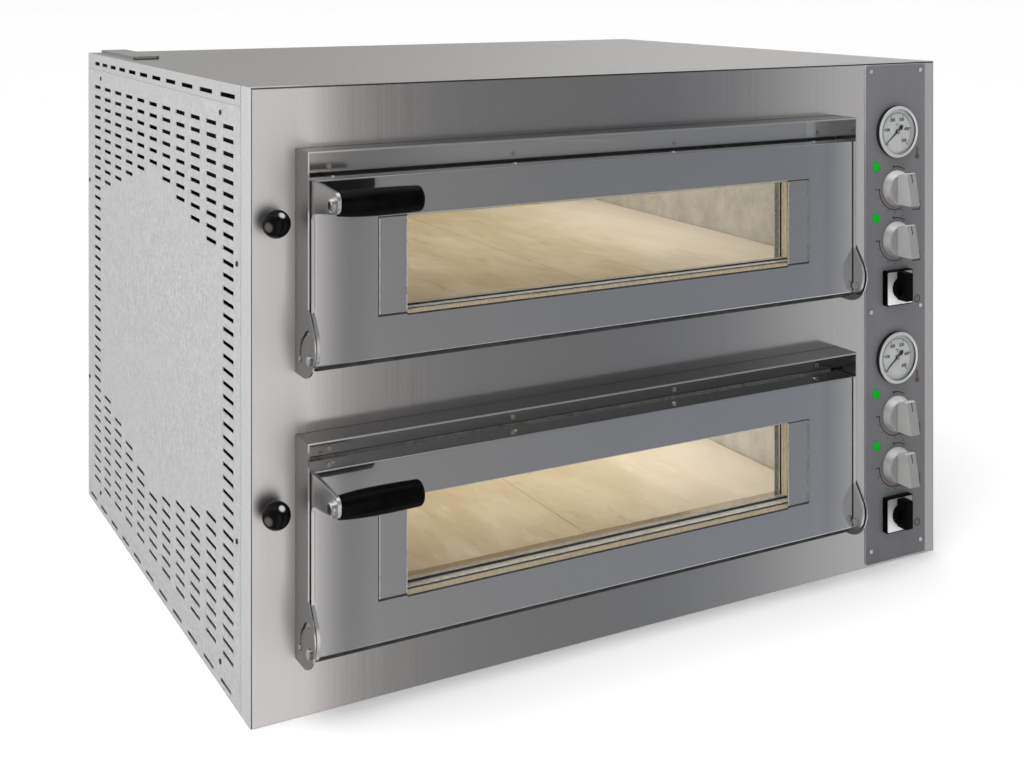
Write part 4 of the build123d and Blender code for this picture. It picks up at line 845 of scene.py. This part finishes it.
def needle_parts(deck, rise):
    """Wedge tail and brass hub of the gauge needle."""
    needle = NODES[f"{deck}_gauge_needle"]
    face = min((needle.matrix_world @ vert.co).y for vert in needle.data.vertices)
    centre = (CONTROL_X, GAUGE_Z + rise)
    tail = bmesh.new()
    flat_shape(tail, [around(centre, 0.0026, 45), around(centre, 0.0112, 28), around(centre, 0.0116, 45),
                      around(centre, 0.0112, 62)], face + 0.0006, 0.0005)
    new_piece(f"{deck}_needle_tail", tail, f"{deck}_needle", INK_AND_SHADE_BLACK)
    hub = bmesh.new()
    disc(hub, centre, 0.0023, face - 0.0001)
    disc(hub, centre, 0.0012, face - 0.0003, 16)
    new_piece(f"{deck}_needle_hub", hub, f"{deck}_needle", BRASS)


def knob_print(name, x, z):
    """Dark red marks on the plate round a heat knob: two arcs with end bars, dots and a corner."""
    bm = bmesh.new()
    centre = (x, z)

    def stroke(start, end, width):
        bar(bm, start, end, width, PLATE_FACE)

    def spoke(angle, inner, outer, width):
        stroke(around(centre, inner, angle), around(centre, outer, angle), width)

    arc_band(bm, centre, 0.0298, 0.0017, 98, 56, PLATE_FACE, 12)
    spoke(98, 0.0282, 0.0318, 0.0022)
    arc_band(bm, centre, 0.0300, 0.0016, 292, 180, PLATE_FACE, 40)
    spoke(180, 0.0292, 0.0330, 0.0018)
    spoke(180, 0.0340, 0.0366, 0.0018)
    for angle in (200, 222, 245, 268, 290):
        disc(bm, around(centre, 0.0338, angle), 0.0010, PLATE_FACE, 12)
    disc(bm, around(centre, 0.0345, 66), 0.0009, PLATE_FACE, 12)
    stroke((x + 0.0452, z - 0.0190), (x + 0.0452, z - 0.0330), 0.0015)
    stroke((x + 0.0459, z - 0.0325), (x + 0.0310, z - 0.0325), 0.0016)
    new_piece(name, bm, CASING, INK_RED)


def plate_signs(deck, rise):
    """Thermometer beside the gauge and the on-off sign beside the switch."""
    bm = bmesh.new()
    bulb = (SIGN_X, THERMOMETER_Z + rise - 0.0050)
    tube_foot, tube_head = THERMOMETER_Z + rise - 0.0025, THERMOMETER_Z + rise + 0.0065
    arc_band(bm, bulb, 0.0031, 0.0014, 65, -245, PLATE_FACE, 24)
    for x in (SIGN_X - 0.0014, SIGN_X + 0.0014):
        bar(bm, (x, tube_foot), (x, tube_head), 0.0012, PLATE_FACE)
    arc_band(bm, (SIGN_X, tube_head), 0.0014, 0.0012, 0, 180, PLATE_FACE, 8)
    disc(bm, bulb, 0.0016, PLATE_FACE, 12)
    z = POWER_Z + rise
    arc_band(bm, (SIGN_X, z), 0.0048, 0.0016, -240, 60, PLATE_FACE, 30)
    bar(bm, (SIGN_X, z + 0.0005), (SIGN_X, z + 0.0068), 0.0016, PLATE_FACE)
    new_piece(f"{deck}_plate_signs", bm, CASING, INK_RED)


def knob_pointer(deck, heat, z):
    """Black line near the end of the grip bar, laid on the bar's sloping face."""
    bm = bmesh.new()
    bar(bm, (CONTROL_X, z + 0.0112), (CONTROL_X, z + 0.0222), 0.0014, 0.0)
    (top_y, top_z), (foot_y, foot_z) = (FRONT - 0.0315, z + 0.0232), (FRONT - 0.0400, z - 0.0189)
    for vert in bm.verts:
        vert.co.y += top_y + (top_z - vert.co.z) * (foot_y - top_y) / (top_z - foot_z)
    new_piece(f"{deck}_{heat}_knob_pointer", bm, f"{deck}_{heat}_heat_dial", INK_AND_SHADE_BLACK)


for deck, rise in DECKS.items():
    dial_print(deck, rise)
    needle_parts(deck, rise)
    plate_signs(deck, rise)
    door_seals(deck, rise)
    handle_socket(deck, rise)
    for heat, z in KNOB_Z.items():
        knob_print(f"{deck}_{heat}_knob_marks", CONTROL_X, z + rise)
        knob_pointer(deck, heat, z + rise)
header_trims()
outlet_baffle()


# ---------------------------------------------------------------- light
def build_world():
    """Soft studio: bright all round, with one large grey flag in front on the right.

    Azimuth is in degrees from straight in front of the oven towards its right, rise in degrees above level.
    """
    world = bpy.data.worlds.new("studio")
    bpy.context.scene.world = world
    world.use_nodes = True
    n = Nodes(world.node_tree)
    x, y, z = n.axes(n.add("ShaderNodeTexCoord").outputs["Generated"])[:3]
    degrees = 180 / pi
    azimuth = n.math("MULTIPLY", n.math("ARCTAN2", x, n.math("MULTIPLY", y, -1.0)), degrees)
    rise = n.math("MULTIPLY", n.math("ARCSINE", z), degrees)

    # The grey flag, darker upwards and cooler to the right.
    flag = n.math("MULTIPLY", n.span(azimuth, 19.3, 22.1), n.span(azimuth, 44.0, 40.8))
    depth = n.mix(n.span(rise, -24.0, -6.0, 0.0, 1.0, False), rgb(0.205, 0.205, 0.205), rgb(0.16, 0.16, 0.16))
    depth = n.mix(n.span(rise, -4.0, 14.0, 0.0, 1.0, False), depth, rgb(0.10, 0.10, 0.10))
    cool = n.mix(n.span(azimuth, 24.0, 42.0), rgb(1.0, 1.0, 1.0), rgb(0.93, 0.99, 1.10))
    flag_colour = n.add("ShaderNodeVectorMath", {"operation": "MULTIPLY"}, i0=depth, i1=cool).outputs[0]

    # In front of the oven: white beside the flag, grey to both sides, a shaded band under a bright ceiling.
    front = n.mix(n.span(azimuth, 25.0, 40.0), rgb(1.06, 1.02, 1.0), rgb(0.66, 0.655, 0.655))
    front = n.mix(n.span(azimuth, 2.0, -22.0), front, rgb(0.30, 0.295, 0.29))
    front = n.mix(flag, front, flag_colour)
    front = n.mix(n.span(rise, 14.0, 34.0), front, rgb(0.22, 0.22, 0.225))
    front = n.mix(n.span(rise, 58.0, 72.0), front, rgb(1.5, 1.5, 1.5))

    # Behind the oven: what the lid mirrors.
    over = n.mix(n.span(azimuth, 162.0, 142.0), rgb(0.40, 0.395, 0.385), rgb(0.80, 0.79, 0.78))
    back = n.mix(n.span(rise, -2.0, 10.0), rgb(0.185, 0.185, 0.185), over)
    back = n.mix(n.span(rise, 40.0, 65.0), back, rgb(1.1, 1.1, 1.1))
    turned = n.math("ABSOLUTE", azimuth)
    seen = n.mix(n.span(turned, 75.0, 105.0), front, back)

    # Diffuse light is simpler, with less of it from the right; the camera sees plain white.
    path = n.add("ShaderNodeLightPath").outputs
    soft = n.mix(n.span(rise, -20.0, 70.0), rgb(0.78, 0.78, 0.79), rgb(1.3, 1.3, 1.3))
    shade = n.math("MULTIPLY", n.span(azimuth, -70.0, -10.0), n.span(azimuth, 130.0, 80.0))
    shade = n.math("MULTIPLY", shade, n.span(rise, 70.0, 40.0))
    soft = n.mix(shade, soft, rgb(0.42, 0.42, 0.43))
    colour = n.mix(path["Is Diffuse Ray"], seen, soft)
    colour = n.mix(path["Is Camera Ray"], colour, rgb(0.98, 0.98, 0.98))
    n.add("ShaderNodeOutputWorld", Surface=n.add("ShaderNodeBackground", Color=colour, Strength=1.0))


def area_light(name, place, target, size, energy, colour=(1, 1, 1)):
    """A soft rectangle of light that neither the camera nor a mirror sees."""
    light = bpy.data.lights.new(name, "AREA")
    light.shape = "RECTANGLE"
    light.size, light.size_y = size
    light.energy = energy
    light.color = colour
    obj = bpy.data.objects.new(name, light)
    bpy.context.scene.collection.objects.link(obj)
    obj.location = place
    obj.rotation_euler = (Vector(target) - Vector(place)).to_track_quat("-Z", "Y").to_euler()
    obj.visible_camera = False
    obj.visible_glossy = False


def chamber_lights(deck, rise):
    """Warm light under the roof of a chamber, with a smaller one towards its right wall."""
    for name, x, y, z, size, energy, colour in (
            ("chamber_glow", 0.4675, 0.36, 0.258, (0.62, 0.66), CHAMBER_GLOW[deck], (1.0, 0.975, 0.95)),
            ("side_glow", 0.69, 0.30, 0.257, (0.16, 0.60), SIDE_GLOW, (1.0, 0.985, 0.97))):
        place = (LEFT + x, FRONT + y, z + rise)
        just_behind = (LEFT + x, FRONT + y + 0.0001, 0.1 + rise)     # straight down, long side across
        area_light(f"{deck}_{name}", place, just_behind, size, energy, colour)


def build_floor():
    """Plain pale floor a hair under the oven."""
    found, n = material("floor_paint")
    cloud = n.noise((1, 1, 1), 2.0, 3.0)
    tint = n.mix(n.span(cloud, 0.3, 0.7), rgb(0.90, 0.90, 0.90), rgb(0.92, 0.92, 0.92))
    finish_material(n, principled(n, Base_Color=tint, Roughness=0.9, Specular_IOR_Level=0.1,
                                  Emission_Color=rgb(1, 1, 1), Emission_Strength=0.13))
    bm = bmesh.new()
    bmesh.ops.create_grid(bm, x_segments=8, y_segments=8, size=30.0)
    mesh = bpy.data.meshes.new("floor")
    bm.to_mesh(mesh)
    bm.free()
    mesh.materials.append(found)
    floor = bpy.data.objects.new("floor", mesh)
    bpy.context.scene.collection.objects.link(floor)
    floor.location = (0, 0, -0.0005)
    floor.visible_glossy = False


build_world()
build_floor()
area_light("key_light", (-1.6, -1.2, 3.0), (0, 0, 0.3), (2.4, 2.4), KEY_LIGHT)
for deck, rise in DECKS.items():
    chamber_lights(deck, rise)


# ---------------------------------------------------------------- camera
def build_camera():
    """Level camera whose frame is shifted down; the shift applies only at its own place."""
    data = bpy.data.cameras.new("camera")
    data.sensor_width = CAMERA_SENSOR
    data.lens = CAMERA_LENS
    camera = bpy.data.objects.new("camera", data)
    bpy.context.scene.collection.objects.link(camera)
    camera.location = CAMERA_PLACE
    camera.rotation_euler = (pi / 2, 0, radians(CAMERA_TURN))
    home = bpy.data.objects.new("camera_home", None)
    bpy.context.scene.collection.objects.link(home)
    home.location = camera.location
    driver = data.driver_add("shift_y").driver
    driver.type = "SCRIPTED"
    gap = driver.variables.new()
    gap.name = "d"
    gap.type = "LOC_DIFF"
    gap.targets[0].id = camera
    gap.targets[1].id = home
    driver.expression = f"{FRAME_SHIFT} if d < 0.001 else 0"
    data.shift_y = FRAME_SHIFT
    bpy.context.scene.camera = camera


build_camera()
scene = bpy.context.scene
scene.view_settings.view_transform = "Standard"
scene.view_settings.look = "None"
